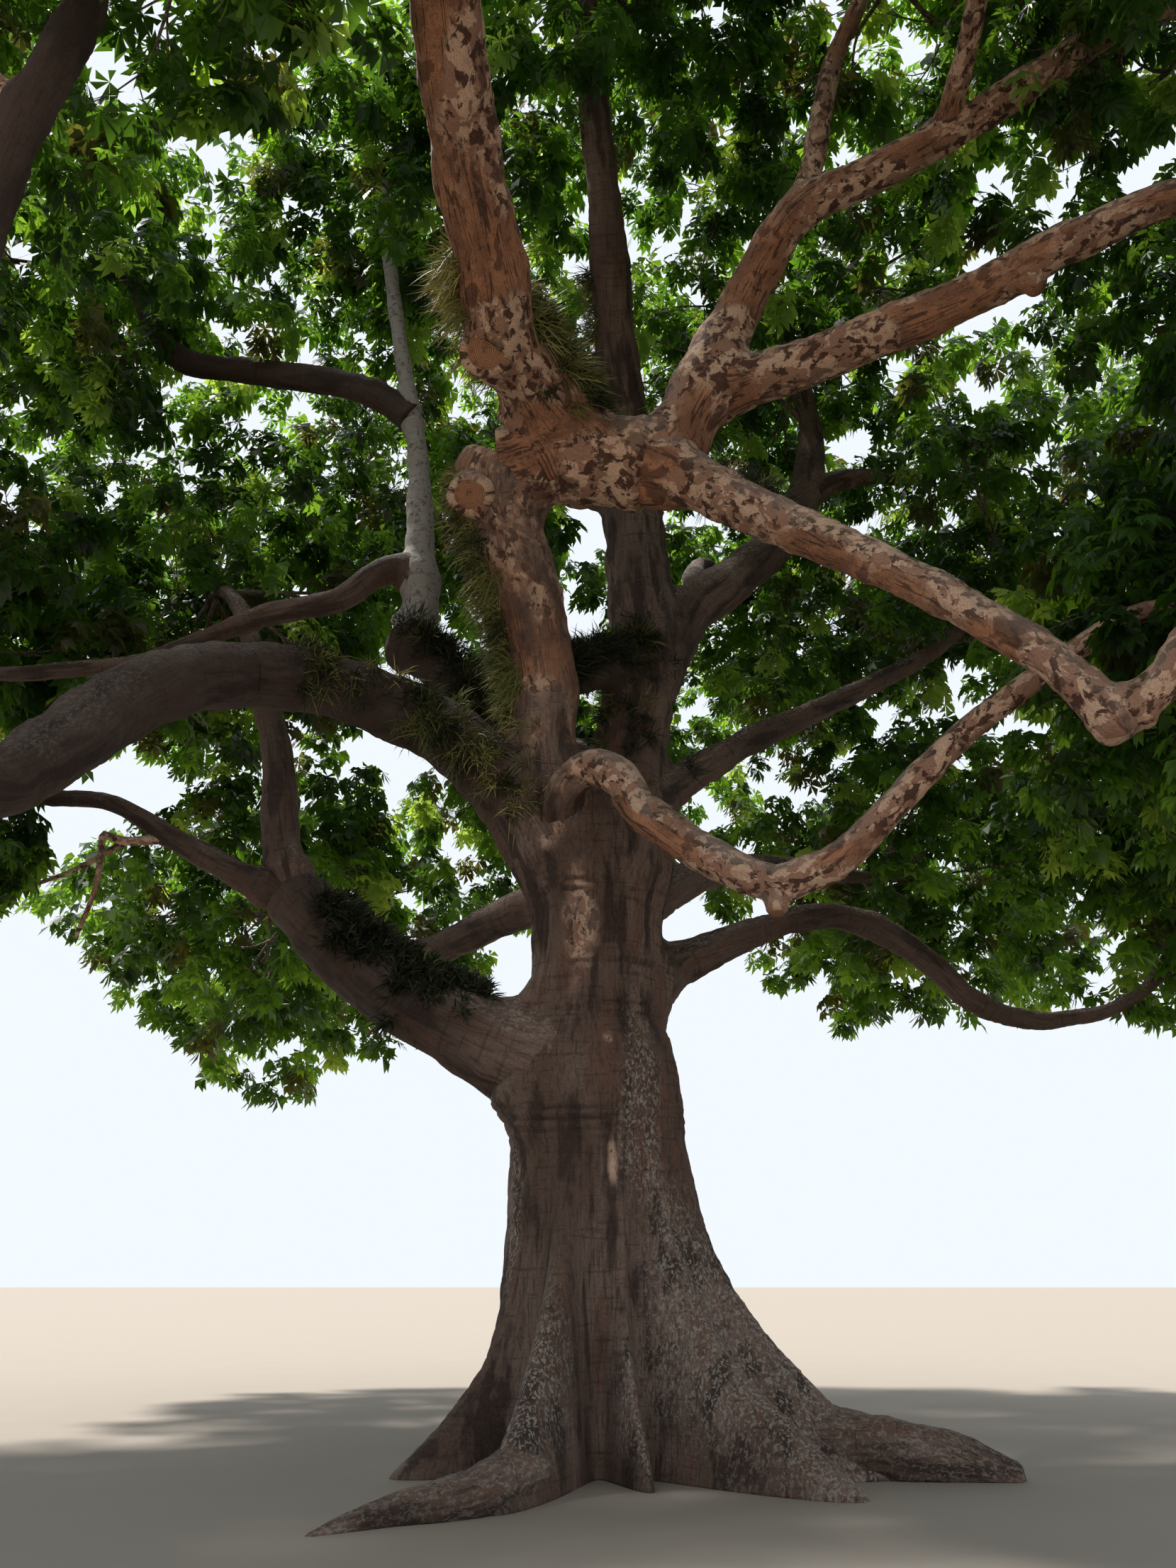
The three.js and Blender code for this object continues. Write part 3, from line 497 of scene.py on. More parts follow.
def grown_bough(routes, first, spacing):
    """One bough from its first limb on."""
    names = [first]
    while follower := follower_of(names[-1]):
        names.append(follower)
    points = [routes[name] for name in names]
    radii = [radii_along(ALL_LIMBS[name]["girth"], routes[name]) for name in names]
    limbs_end = sum(lengths_along(route)[-1] for route in points)
    mass = names[-1] if names[-1] in MASSES else None
    if mass:
        inner, beyond = mass_stem(points[-1], mass)
        tip = radii[-1][-1]
        points += [inner, beyond]
        radii += [np.linspace(tip, tip * STEM_AT_CENTRE, len(inner)),
                  np.linspace(tip * STEM_AT_CENTRE, STEM_TIP_RADIUS, len(beyond))]
    route, radii = np.vstack(points), np.concatenate(radii)
    keep = np.concatenate([[True], np.linalg.norm(np.diff(route, axis=0), axis=1) > SAME_PLACE])
    route, radii = route[keep], radii[keep]
    total = lengths_along(route)[-1]
    at = np.linspace(0, total, math.ceil(total / spacing) + 1)
    even = resampled(route, radii, at)[:, 0]
    padded = np.pad(even, RADIUS_SMOOTHING // 2, mode="edge")
    even = np.convolve(padded, np.full(RADIUS_SMOOTHING, 1 / RADIUS_SMOOTHING), mode="valid")
    return Bough(first, names, resampled(route, route, at), even, mass,
                 int(np.searchsorted(at, limbs_end)), first in STUBS)


def all_boughs(spacing):
    """Every bough: one from each limb that doesn't grow on from another's tip."""
    routes = limb_routes()
    firsts = [name for name, one in ALL_LIMBS.items() if one["at"] != 1]
    return [grown_bough(routes, name, spacing) for name in firsts]


# Clearance: what stands near a point

# Heights of the balls in the trunk, the step between a bough's rings that count, and points held in one go
TRUNK_CORE = np.arange(2.6, 7.02, 0.12)
SAMPLE_STEP = 2
POINTS_AT_ONCE = 4000


def body_radius(height):
    """Radius of the round trunk: a smooth step from each stated height to the next."""
    levels, radii = TRUNK_BODY.T
    above = np.clip(np.searchsorted(levels, height), 1, len(levels) - 1)
    share = smooth_step(height, levels[above - 1], levels[above])
    return mixed(radii[above - 1], radii[above], share)


def trunk_samples():
    """The upper trunk as balls along its axis, the top ones small enough to stay under its crown."""
    centres = np.stack([trunk_axis(height) for height in TRUNK_CORE])
    return centres, np.minimum(body_radius(TRUNK_CORE), TRUNK_HEIGHT - TRUNK_CORE)


def samples_of(boughs):
    """Centres and radii of the boughs as balls."""
    centres = [bough.centres[::SAMPLE_STEP] for bough in boughs]
    radii = [bough.radii[::SAMPLE_STEP] for bough in boughs]
    return np.vstack(centres), np.concatenate(radii)


def nearest_surface(points, centres, radii):
    """Distance from each point to the nearest ball's surface, and that ball's radius."""
    gaps = np.full(len(points), np.inf)
    sizes = np.ones(len(points))
    for start in range(0, len(points), POINTS_AT_ONCE):
        part = points[start:start + POINTS_AT_ONCE]
        away = np.sqrt(np.maximum(
            (part ** 2).sum(1)[:, None] + (centres ** 2).sum(1)[None] - 2 * part @ centres.T, 0)) - radii
        nearest = away.argmin(axis=1)
        gaps[start:start + POINTS_AT_ONCE] = away[np.arange(len(part)), nearest]
        sizes[start:start + POINTS_AT_ONCE] = radii[nearest]
    return gaps, sizes


# A fillet: its reach as a share of the thinner bough's radius, the most that skin moves as a share of that
# reach, the rounds that it takes, and the depths inside the other bough between which skin stays back
FILLET_REACH = 1.15
FILLET_MOST = 0.3
FILLET_ROUNDS = 5
FILLET_DEPTHS = (-0.4, -0.1)


def fillet(points, normals, own_radii, centres, radii):
    """How far each skin point moves out along its normal, so that skins that meet run into each other.

    The point goes to where min(own, other) = h^2 k / 4, with own and other its distances to its own bough
    and to the nearest other one, k the reach of the fillet and h = 1 - |own - other| / k. A point that
    starts deep inside the other bough stays where it is.
    """
    offset = np.zeros(len(points))
    low, high = points.min(axis=0) - radii.max(), points.max(axis=0) + radii.max()
    near = ((centres > low - radii.max()) & (centres < high + radii.max())).all(axis=1)
    if not near.any():
        return offset
    centres, radii = centres[near], radii[near]
    buried, size = nearest_surface(points, centres, radii)
    kept_back = smooth_step(buried / (FILLET_REACH * np.minimum(own_radii, size)), *FILLET_DEPTHS)
    for _ in range(FILLET_ROUNDS):
        gap, size = nearest_surface(points + normals * offset[:, None], centres, radii)
        reach = FILLET_REACH * np.minimum(own_radii, size)
        closeness = np.clip(1 - np.abs(offset - gap) / reach, 0, 1)
        offset -= np.minimum(offset, gap) - closeness ** 2 * reach / 4
        offset = np.clip(offset, 0, FILLET_MOST * reach)
    return offset * kept_back


# Skins: bark as a swept surface with real relief

# How old the bark of a bough is: 1 is old, above that it is darkened with painted shade too, and the others'
# is young
BOUGH_AGES_AND_SHADE = {
    "back_stem": 1.0, "back_right_bough": 1.1, "right_back_bough": 1.1, "right_low_bough": 1.3,
    "left_low_bough": 1.4, "left_arch_bough": 1.5, "front_stem": 0.5, "top_leader": 1.0, "cross_limb": 1.4,
    "elbow_bough": 1.5, "left_mid_bough": 1.2, "far_left_bough": 1.5, "rear_left_bough": 1.2,
    "rear_bough": 1.1, "rear_right_bough": 1.1, "rear_high_left_bough": 1.1, "rear_high_right_bough": 1.1,
    "left_low_reach": 1.3, "left_low_riser": 1.2, "back_right_stub": 0.7,
}
BARK_PLACE = "bark_place"
# Attribute of the bark's lichen crust, and on a bough's upper side partly painted highlight
CRUST_AND_HIGHLIGHT = "weathered"
# Attribute of a bark's age, which above 1 carries painted shade
AGE_AND_SHADE = "old"
# Stretch over which a bough's bark changes from the trunk's, and the trunk's into that of the boughs
OLD_STRETCH = (0.3, 2.4)
YOUNG_HEIGHTS = (4.4, 7.0)
YOUNG_SHARE = 0.3
# How young and how weathered a torn patch of the trunk is, and a bough's upper side's crust and painted
# highlight
TORN_SHARE = 0.75
TORN_CRUST = 0.35
BOUGH_CRUST_AND_HIGHLIGHT = 0.6
# Ends: a dome's length as a share of the radius, the swelling round a cut, its width, and the cut's own size
DOME_SHARE = 0.75
RIM_SWELL = 0.16
RIM_WIDTH = 0.08
CUT_SHARE = 0.8
# Fewest and most faces round a bough
SIDES_RANGE = (9, 64)
# Relief of a bough's bark: widths in metres, patterns a metre round and along it, depths as shares of a
# flake's height
LUMP_WIDTH = 0.5
SMALL_LUMP_WIDTH = 0.2
SMALL_LUMP_SHARE = 0.45
FLAKY_WIDTH = 0.9
FLAKY_EDGE = (-0.15, 0.25)
FLAKE_WIDTH = 0.1
FLAKE_EDGE = (-0.05, 0.12)
RAGGED_WIDTH = 0.05
RAGGED_SHARE = 0.5
FURROWS_A_METRE = np.array([16, 16, 1.6])
FURROW_DEPTH = 0.9
WRINKLES_A_METRE = np.array([2.2, 2.2, 13])
WRINKLE_DEPTH = 0.8
# Below this radius a bough's relief grows less with it
THIN_RADIUS = 0.14
# The upper side of a bough, where it gets crust and painted highlight, by how far its skin faces up
UPPER_SIDE = (-0.1, 0.75)
UPPER_NOISE = 0.35
UPPER_NOISE_WIDTH = 0.35
BOUGH_SEED = 100
SEEDS_A_BOUGH = 10


def cross_axes(tangents):
    """Two axes across a route, from the direction that its tangents avoid most."""
    avoided = np.linalg.eigh(tangents.T @ tangents)[1][:, 0]
    side = unit(avoided - (tangents @ avoided)[:, None] * tangents)
    return side, np.cross(tangents, side)


def swept(centres, radii, sides):
    """A tube: centre + radius (cos a side + sin a up), with a going round.

    Gives its points, their normals and the angles.
    """
    side, up = cross_axes(unit(np.gradient(centres, axis=0)))
    angle = np.linspace(0, 2 * np.pi, sides, endpoint=False)
    normals = (np.cos(angle)[None, :, None] * side[:, None] + np.sin(angle)[None, :, None] * up[:, None])
    return centres[:, None] + radii[:, None, None] * normals, normals, angle


def straightened(radii, angle, along):
    """The bark's own coordinates: round the bough and along it, as if it were straight."""
    rings = np.ones((len(along), len(angle)))
    return np.stack([radii[:, None] * np.cos(angle), radii[:, None] * np.sin(angle), along[:, None] * rings],
                    axis=-1)


def bough_relief(place, radii, bark, seed):
    """Height of a bough's bark: lumps, flakes with steep edges, furrows along it and wrinkles round it."""
    size = radii[:, None]
    lumps = noise(place / LUMP_WIDTH, seed) + SMALL_LUMP_SHARE * noise(place / SMALL_LUMP_WIDTH, seed + 1)
    flaky = smooth_step(noise(place / FLAKY_WIDTH, seed + 2), *FLAKY_EDGE)
    ragged = place / FLAKE_WIDTH + RAGGED_SHARE * noise(place / RAGGED_WIDTH, seed + 3)[..., None]
    flakes = smooth_step(noise(ragged, seed + 4), *FLAKE_EDGE)
    furrows = folds(place * FURROWS_A_METRE, seed + 5)
    wrinkles = folds(place * WRINKLES_A_METRE, seed + 6)
    coarse = np.minimum(1, size / THIN_RADIUS)
    cut_in = furrows * (1 - flaky) * FURROW_DEPTH
    relief = bark.plate_height * (flakes * flaky - cut_in - wrinkles * WRINKLE_DEPTH)
    return lumps * bark.lump_height * size * coarse + relief * coarse


def domed(radii, centres):
    """Rounds off a blunt end: over the last stretch the radius falls like a quarter circle."""
    along = lengths_along(centres)
    dome = DOME_SHARE * radii[-1]
    t = np.clip((along - (along[-1] - dome)) / dome, 0, 1)
    return radii * np.sqrt(np.maximum(1 - t ** 2, 0))


def rimmed(radii, centres):
    """Swells round a cut: the radius grows by exp(-(distance from the rim's middle)^2), then closes in."""
    left = lengths_along(centres)[-1] - lengths_along(centres)
    swollen = radii * (1 + RIM_SWELL * np.exp(-((left - RIM_WIDTH) / RIM_WIDTH) ** 2))
    swollen[-1] = radii[-1] * CUT_SHARE
    return swollen


def closed_grid(rings, sides):
    """Corners and sizes of the faces of a closed tube: quads between rings and a fan at each end's pole."""
    i, j = np.meshgrid(np.arange(rings - 1), np.arange(sides), indexing="ij")
    here, beside = i * sides + j, i * sides + (j + 1) % sides
    quads = np.stack([here, beside, beside + sides, here + sides], axis=-1).reshape(-1)
    j = np.arange(sides)
    foot = np.stack([np.full(sides, rings * sides), (j + 1) % sides, j], axis=-1)
    last = (rings - 1) * sides
    top = np.stack([np.full(sides, rings * sides + 1), last + j, last + (j + 1) % sides], axis=-1)
    corners = np.concatenate([quads, foot.reshape(-1), top.reshape(-1)])
    return corners, np.concatenate([np.full((rings - 1) * sides, 4), np.full(2 * sides, 3)])


def with_poles(grid):
    """A grid of rings as one list of points, with the middle of its first and of its last ring added."""
    ends = np.stack([grid[0].mean(axis=0), grid[-1].mean(axis=0)])
    return np.concatenate([grid.reshape(-1, *grid.shape[2:]), ends])


def new_piece(name, points, corners, sizes, material):
    """A mesh object from whole arrays: points, the corners of all faces in a row, and the faces' sizes."""
    mesh = bpy.data.meshes.new(name)
    mesh.vertices.add(len(points))
    mesh.vertices.foreach_set("co", np.asarray(points, np.float32).ravel())
    mesh.loops.add(len(corners))
    mesh.loops.foreach_set("vertex_index", np.asarray(corners, np.int32))
    mesh.polygons.add(len(sizes))
    mesh.polygons.foreach_set("loop_start", np.concatenate([[0], np.cumsum(sizes)[:-1]]).astype(np.int32))
    mesh.materials.append(material)
    mesh.update(calc_edges=True)
    piece = bpy.data.objects.new(name, mesh)
    bpy.context.scene.collection.objects.link(piece)
    return piece


def triangle_piece(name, points, triangles, material):
    """A mesh object whose faces are all triangles."""
    return new_piece(name, points, triangles.ravel(), np.full(len(triangles), 3), material)


def add_attribute(piece, name, values):
    """Keeps a number or a vector for each point of the piece, for its material."""
    kind, field = ("FLOAT_VECTOR", "vector") if values.ndim == 2 else ("FLOAT", "value")
    made = piece.data.attributes.new(name, kind, "POINT")
    made.data.foreach_set(field, np.asarray(values, np.float32).ravel())


def bark_piece(name, grid, place, weathered, old, material):
    """A closed, smooth bark skin with its own coordinates, crust and painted highlight, age and painted
    shade.
    """
    corners, sizes = closed_grid(*grid.shape[:2])
    piece = new_piece(name, with_poles(grid), corners, sizes, material)
    add_attribute(piece, BARK_PLACE, with_poles(place))
    add_attribute(piece, CRUST_AND_HIGHLIGHT, with_poles(weathered))
    add_attribute(piece, AGE_AND_SHADE, with_poles(old))
    piece.data.shade_smooth()
    return piece


def bough_age_and_shade(bough, along):
    """The age of the bough's own bark, with painted shade above 1; one that leaves the trunk starts as old
    as that is.
    """
    own_age = BOUGH_AGES_AND_SHADE.get(bough.name, 0)
    if ALL_LIMBS[bough.name]["on"] != "trunk":
        return np.full(len(along), own_age)
    return mixed(1, own_age, smooth_step(along, *OLD_STRETCH))


def bough_skin(bough, others, bark, seed, material):
    """The skin of one bough, run into its neighbours by fillets."""
    radii = rimmed(bough.radii, bough.centres) if bough.is_cut else domed(bough.radii, bough.centres)
    sides = int(np.clip(round(2 * np.pi * bough.radii.max() / bark.side_spacing), *SIDES_RANGE))
    points, normals, angle = swept(bough.centres, radii, sides)
    along = lengths_along(bough.centres)
    place = straightened(bough.radii, angle, along)
    flat = points.reshape(-1, 3), normals.reshape(-1, 3)
    own = np.repeat(bough.radii, sides)
    spread = fillet(*flat, own, *others).reshape(points.shape[:2])
    height = spread + bough_relief(place, bough.radii, bark, seed) * (radii / bough.radii)[:, None]
    points = points + normals * height[..., None]
    # Upper side: partly lichen crust, partly painted highlight
    facing_up = normals[..., 2] + UPPER_NOISE * noise(place / UPPER_NOISE_WIDTH, seed + 7)
    weathered = BOUGH_CRUST_AND_HIGHLIGHT * smooth_step(facing_up, *UPPER_SIDE)
    # Age of the bark, and above 1 painted shade
    old = np.repeat(bough_age_and_shade(bough, along)[:, None], sides, axis=1)
    return bark_piece(f"bark_{bough.name}", points, place, weathered, old, material)


def show_cut(skin, sawn):
    """Gives sawn wood to the fan that closes a stub's far end: the last half of the skin's triangles."""
    polygons = skin.data.polygons
    triangles = sum(len(polygon.vertices) == 3 for polygon in polygons)
    kinds = np.zeros(len(polygons), np.int32)
    kinds[-(triangles // 2):] = 1
    skin.data.materials.append(sawn)
    polygons.foreach_set("material_index", kinds)


# Trunk skin

# Faces round the trunk and rings up it
TRUNK_SIDES = 400
TRUNK_RINGS = 215
# Folds of bark round the trunk: height, spread up and down, heading and half width of the folded side in
# degrees
WRINKLES = ((3150, 170, 250, 75), (4300, 120, 265, 80), (4800, 90, 300, 60), (5600, 110, 250, 60))
# Knobs on the trunk: heading, height, width, how far they stand out
BURLS = ((222, 3080, 210, 110), (205, 3500, 260, 120), (268, 4020, 130, 35), (300, 5950, 240, 60),
         (215, 4600, 170, 80), (240, 5500, 260, 70), (285, 2500, 300, 40), (60, 4700, 250, 90),
         (130, 5300, 240, 90))
# Patches of the trunk that are torn down to young bark, and those with a crust of lichen: heading, height,
# half width in degrees and half height
TORN_PATCHES = ((256, 5150, 20, 850), (279, 3950, 5, 110), (282, 2700, 5, 300), (230, 6300, 20, 400),
                (40, 4500, 16, 700), (150, 3600, 18, 600))
LICHEN_PATCHES = ((302, 3300, 17, 1000), (325, 1100, 22, 1500), (207, 2200, 9, 700), (255, 800, 9, 800),
                  (288, 550, 6, 500), (70, 2300, 25, 1100), (140, 1500, 25, 900))

# Folds: height and width of a wave, how far and over what width they wander, and the painted shade in their
# creases
FOLD_HEIGHT = 0.034
FOLD_SPACING = 0.11
FOLD_WANDER = 0.05
FOLD_WANDER_WIDTH = 0.6
CREASE_SHADE = 0.6
# Relief of the trunk's bark: patterns a metre round and along it, then widths and heights in metres
TRUNK_FISSURES_A_METRE = np.array([9, 9, 1.1])
FINE_FISSURES_A_METRE = np.array([21, 21, 2.6])
FINE_FISSURE_SHARE = 0.6
PLATE_SIZE = np.array([0.1, 0.1, 0.22])
PLATE_EDGE = (-0.1, 0.2)
PLATE_HEIGHT = 0.008
TRUNK_LUMP_WIDTH = 0.8
TRUNK_SMALL_LUMP_WIDTH = 0.33
TRUNK_SMALL_LUMP_SHARE = 0.5
TRUNK_LUMP_HEIGHT = 0.03
# Folds over a buttress: how far it stands out, how high they start, their pattern a metre and their height
RIDGE_EDGE = (0.25, 0.9)
RIDGE_START = (0.1, 0.5)
RIDGE_FOLDS_A_METRE = np.array([1.4, 1.4, 10])
RIDGE_FOLD_HEIGHT = 0.016
RELIEF_START = (-0.05, 0.25)
TRUNK_SEED = 21
# Headings of the trunk's faces: how many are tried, at which height, and the share that is spread evenly
HEADINGS_TRIED = 3601
FOOT_HEIGHT = 0.3
EVEN_SHARE = 0.3
# Rings lie closer at the foot; the top closes above one height, and fillets start between two
RING_CROWDING = 1.15
CROWN_START = 6.6
FILLET_HEIGHTS = (2.4, 3.0)
# Surface roots: how weathered they are, faces round one, and the first one's seed
ROOT_CRUST = 0.4
ROOT_SIDES = 48
ROOT_SEED = 60


def patch_share(patches, heading, height):
    """How far a point is inside the nearest patch: 1 in its middle, falling as exp(-distance^2)."""
    shares = []
    for facing, level, width, tall in patches:
        turn = turn_from(heading, facing)
        shares.append(np.exp(-(turn / width) ** 2 - ((height - level * MM) / (tall * MM)) ** 2))
    return np.max(shares, axis=0)


def trunk_radius(heading, height):
    """Body + sum of (reach - body) exp(-(turn / width)^2) exp(-(height / rise)^1.25) over the buttresses."""
    body = body_radius(height)
    radius = body.copy()
    for facing, reach, rise, width in BUTTRESSES:
        turn = turn_from(heading, facing)
        upward = np.exp(-(height / (rise * MM)) ** BUTTRESS_CURVE)
        radius += (reach * MM - body) * np.exp(-(turn / width) ** 2) * upward
    return radius


def fold_waves(place, heading, height):
    """Waves that run round the trunk: cos(2 pi height / spacing), dying away from each fold's middle."""
    wavy = height + FOLD_WANDER * noise(place / FOLD_WANDER_WIDTH, TRUNK_SEED + 5)
    waves = np.zeros(height.shape)
    for level, spread, facing, width in WRINKLES:
        turn = turn_from(heading, facing)
        band = np.exp(-((height - level * MM) / (spread * MM)) ** 2 - (turn / width) ** 2)
        waves += band * np.cos(2 * np.pi * wavy / FOLD_SPACING)
    return waves


def trunk_relief(place, heading, height, radius, bark):
    """Height of the trunk's bark: upright fissures, plates, lumps, ring folds, burls and buttress folds."""
    fissures = folds(place * TRUNK_FISSURES_A_METRE, TRUNK_SEED)
    fissures += FINE_FISSURE_SHARE * folds(place * FINE_FISSURES_A_METRE, TRUNK_SEED + 1)
    plates = smooth_step(noise(place / PLATE_SIZE, TRUNK_SEED + 2), *PLATE_EDGE)
    lumps = noise(place / TRUNK_LUMP_WIDTH, TRUNK_SEED + 3)
    lumps += TRUNK_SMALL_LUMP_SHARE * noise(place / TRUNK_SMALL_LUMP_WIDTH, TRUNK_SEED + 4)
    relief = TRUNK_LUMP_HEIGHT * lumps + PLATE_HEIGHT * plates - bark.fissure_depth * fissures
    relief += FOLD_HEIGHT * fold_waves(place, heading, height)
    for facing, level, width, rise in BURLS:
        turn = np.radians(turn_from(heading, facing)) * radius
        away = (turn ** 2 + (height - level * MM) ** 2) / (width * MM) ** 2
        relief += rise * MM * np.exp(-away)
    ridge = smooth_step(radius - body_radius(height), *RIDGE_EDGE)
    ridge_folds = folds(place * RIDGE_FOLDS_A_METRE, TRUNK_SEED + 6)
    relief += RIDGE_FOLD_HEIGHT * ridge * ridge_folds * smooth_step(height, *RIDGE_START)
    return relief * smooth_step(height, *RELIEF_START)


def trunk_headings():
    """Headings of the faces round the trunk, closer together where a buttress stands out.

    They are spread evenly over the mean of the turn and of the length round the foot.
    """
    tried = np.linspace(0, 360, HEADINGS_TRIED)
    reach = trunk_radius(tried, np.full(tried.shape, FOOT_HEIGHT))
    length = lengths_along(reach[:, None] * heading_vector(tried))
    share = EVEN_SHARE * tried / 360 + (1 - EVEN_SHARE) * length / length[-1]
    return np.interp(np.linspace(0, 1, TRUNK_SIDES, endpoint=False), share, tried)


def trunk_skin(others, bark, material):
    """The trunk as rings round its axis, its radius a function of heading and height.

    Its top closes as a quarter circle. Where a patch is torn or higher up, the bark is younger, and the
    creases of the folds are darkened with painted shade.
    """
    rise = np.linspace(0, 1, TRUNK_RINGS) ** RING_CROWDING * TRUNK_HEIGHT
    heading, height = np.meshgrid(trunk_headings(), rise)
    outward = heading_vector(heading)
    radius = trunk_radius(heading, height)
    crown = np.clip((height - CROWN_START) / (TRUNK_HEIGHT - CROWN_START), 0, 1)
    radius = radius * np.sqrt(np.maximum(1 - crown ** 2, 0))
    axis = np.stack([TRUNK_LEAN * height, 0 * height, height], axis=-1)
    place = axis + outward * radius[..., None]
    own = body_radius(height).ravel()
    spread = fillet(place.reshape(-1, 3), outward.reshape(-1, 3), own, *others).reshape(radius.shape)
    spread *= smooth_step(height, *FILLET_HEIGHTS)
    relief = trunk_relief(place, heading, height, radius, bark) * np.sqrt(1 - crown ** 2)
    points = place + outward * (spread + relief)[..., None]
    crust = patch_share(LICHEN_PATCHES, heading, height)
    torn = patch_share(TORN_PATCHES, heading, height)
    old = 1 - np.maximum(YOUNG_SHARE * smooth_step(height, *YOUNG_HEIGHTS), TORN_SHARE * torn)
    # Painted shade in the creases of the folds, carried as age above 1
    old += CREASE_SHADE * np.maximum(-fold_waves(place, heading, height), 0)
    return bark_piece("bark_trunk", points, place, np.maximum(crust, TORN_CRUST * torn), old, material)


def surface_root(index, bark, material):
    """A root that runs on over the ground; what would be below ground is pressed flat onto it."""
    foot, girth, legs = SURFACE_ROOTS[index]
    route = leg_route(np.array(foot) * MM, legs)
    total = lengths_along(route)[-1]
    at = np.linspace(0, total, math.ceil(total / bark.ring_spacing) + 1)
    centres = resampled(route, route, at)
    radii = resampled(route, radii_along(girth, route), at)[:, 0]
    points, normals, angle = swept(centres, domed(radii, centres), ROOT_SIDES)
    place = straightened(radii, angle, at)
    points = points + normals * bough_relief(place, radii, bark, ROOT_SEED + index)[..., None]
    points[..., 2] = np.maximum(points[..., 2], 0)
    level = np.ones(points.shape[:2])
    return bark_piece(f"bark_surface_root_{index + 1}", points, place, ROOT_CRUST * level, level, material)


# Foliage: every mass of leaves grows from its bough's stem, twig by twig, and keeps to its own space

# Gaps in metres: beside the next mass's space, round bark, and inside the box for twigs and for leaves
SPACE_CLEARANCE = 0.02
LIMB_CLEARANCE = 0.06
TWIG_MARGIN = 0.1
LEAF_MARGIN = 0.2
# The crown's top: its fall per square metre, and the height and width of its lumps
CROWN_FALL = 0.028
CROWN_WAVE = 0.9
CROWN_WAVE_WIDTH = 2.6
CROWN_SEED = 71
SEED_STEP = 1009
# A twig outside its space is drawn in this often, to this share; it bends this far along both its headings
SHORTENINGS = 5
SHORTENING = 0.82
BEND_LEAD = 0.25
# Main twigs: where on the stem, how far out in the ellipsoid, their share of the stem's radius, least and
# most, and how much of it is left at the tip
STEM_SHARE = (0.18, 1.0)
TWIG_REACH = (0.66, 0.9)
MAIN_THINNESS = 0.55
MAIN_RADII = (0.016, 0.06)
MAIN_TAPER = 0.3
# Side twigs: how many on each twig, the part of it that stays bare, how they are jittered along it, the
# angle that they open by and its scatter in degrees, their share of its radius and what is left at the tip
SIDES_A_TWIG = 6
BARE_SHARE = 0.25
SIDE_JITTER = (0.3, 1)
SIDE_SPREAD = 50
SIDE_SCATTER = 9
SIDE_THINNESS = 0.75
SIDE_TAPER = 0.45
# Lengths and lift of the two orders of side twigs
SIDE_ORDERS = (((0.9, 1.5), 0.1), ((0.45, 0.85), 0.05))
# No twig runs quite this way
SKEW = (0.31, 0.52, 0.79)


def below_crown_top(points, top):
    """Whether points are below top - fall r^2 - wave noise: a crown that is domed and lumpy, not level."""
    level = points * LEVEL
    lumps = (1 + noise(level / CROWN_WAVE_WIDTH, CROWN_SEED)) / 2
    return points[..., 2] < top - CROWN_FALL * (level ** 2).sum(axis=-1) - CROWN_WAVE * lumps


def in_own_space(points, index, margin):
    """Whether points are in the mass's ellipsoid, nearest to its own centre and inside crown and box."""
    away = points - MASS_CENTRES[index]
    low, high = (np.array(corner) for corner in CAD_BOX)
    inside = ((away / MASS_HALVES[index]) ** 2).sum(axis=-1) < 1
    inside &= ((points > low + margin) & (points < high - margin)).all(axis=-1)
    inside &= below_crown_top(points, high[2])
    between = np.delete(MASS_CENTRES, index, axis=0) - MASS_CENTRES[index]
    distance = np.linalg.norm(between, axis=1)
    return inside & (away @ (between / distance[:, None]).T < distance / 2 - SPACE_CLEARANCE).all(axis=-1)


@dataclass
class Twigs:
    """Many quadratic curves at once: start, bend and end points, and radii at both ends."""
    start: np.ndarray
    bend: np.ndarray
    end: np.ndarray
    radii: np.ndarray

    def at(self, t):
        """Point of each curve at t."""
        return curve_points(self.start, self.bend, self.end, t)

    def heading(self, t):
        """Slope of each curve at t, (1-t)(bend - start) + t (end - bend), at length 1."""
        return unit((1 - t) * (self.bend - self.start) + t * (self.end - self.bend))

    def opened(self):
        """The same curves with a second axis, for several places along each."""
        return Twigs(self.start[:, None], self.bend[:, None], self.end[:, None], self.radii)

    def radius(self, t):
        """Radius of each curve at t, straight from root to tip."""
        return mixed(self.radii[:, :1], self.radii[:, 1:], t)

    def sprouts(self, share, random):
        """Place, twig's heading, outward direction and radius at shares of each twig beyond its bare part.

        Outward is cos(a) side + sin(a) over, and a goes on by the golden angle from one place to the next.
        """
        t = mixed(BARE_SHARE, 1, share)
        opened = self.opened()
        place, forward = opened.at(t[..., None]), opened.heading(t[..., None])
        side = unit(np.cross(forward, UP) + NOT_ZERO)
        over = np.cross(side, forward)
        first = random.uniform(0, 2 * np.pi, (len(share), 1))
        angle = (np.radians(GOLDEN_ANGLE) * np.arange(share.shape[1]) + first)[..., None]
        return place, forward, np.cos(angle) * side + np.sin(angle) * over, self.radius(t)


def fitted(start, forward, end, radii, index):
    """Twigs from start towards end, each drawn in step by step until its tip is in the mass's own space."""
    for _ in range(SHORTENINGS):
        outside = ~in_own_space(end, index, TWIG_MARGIN)
        end[outside] = mixed(start, end, SHORTENING)[outside]
    kept = in_own_space(end, index, TWIG_MARGIN)
    length = np.linalg.norm(end - start, axis=-1, keepdims=True)
    bend = start + (forward + unit(end - start)) * length * BEND_LEAD
    return Twigs(start[kept], bend[kept], end[kept], radii[kept])


def spread_directions(count, turn):
    """Directions from a spiral that spreads evenly over a sphere."""
    i = np.arange(count)
    height = 1 - (2 * i + 1) / count
    level = np.sqrt(1 - height ** 2)
    angle = np.radians(GOLDEN_ANGLE * i + turn)
    return np.stack([level * np.cos(angle), level * np.sin(angle), height], axis=-1)


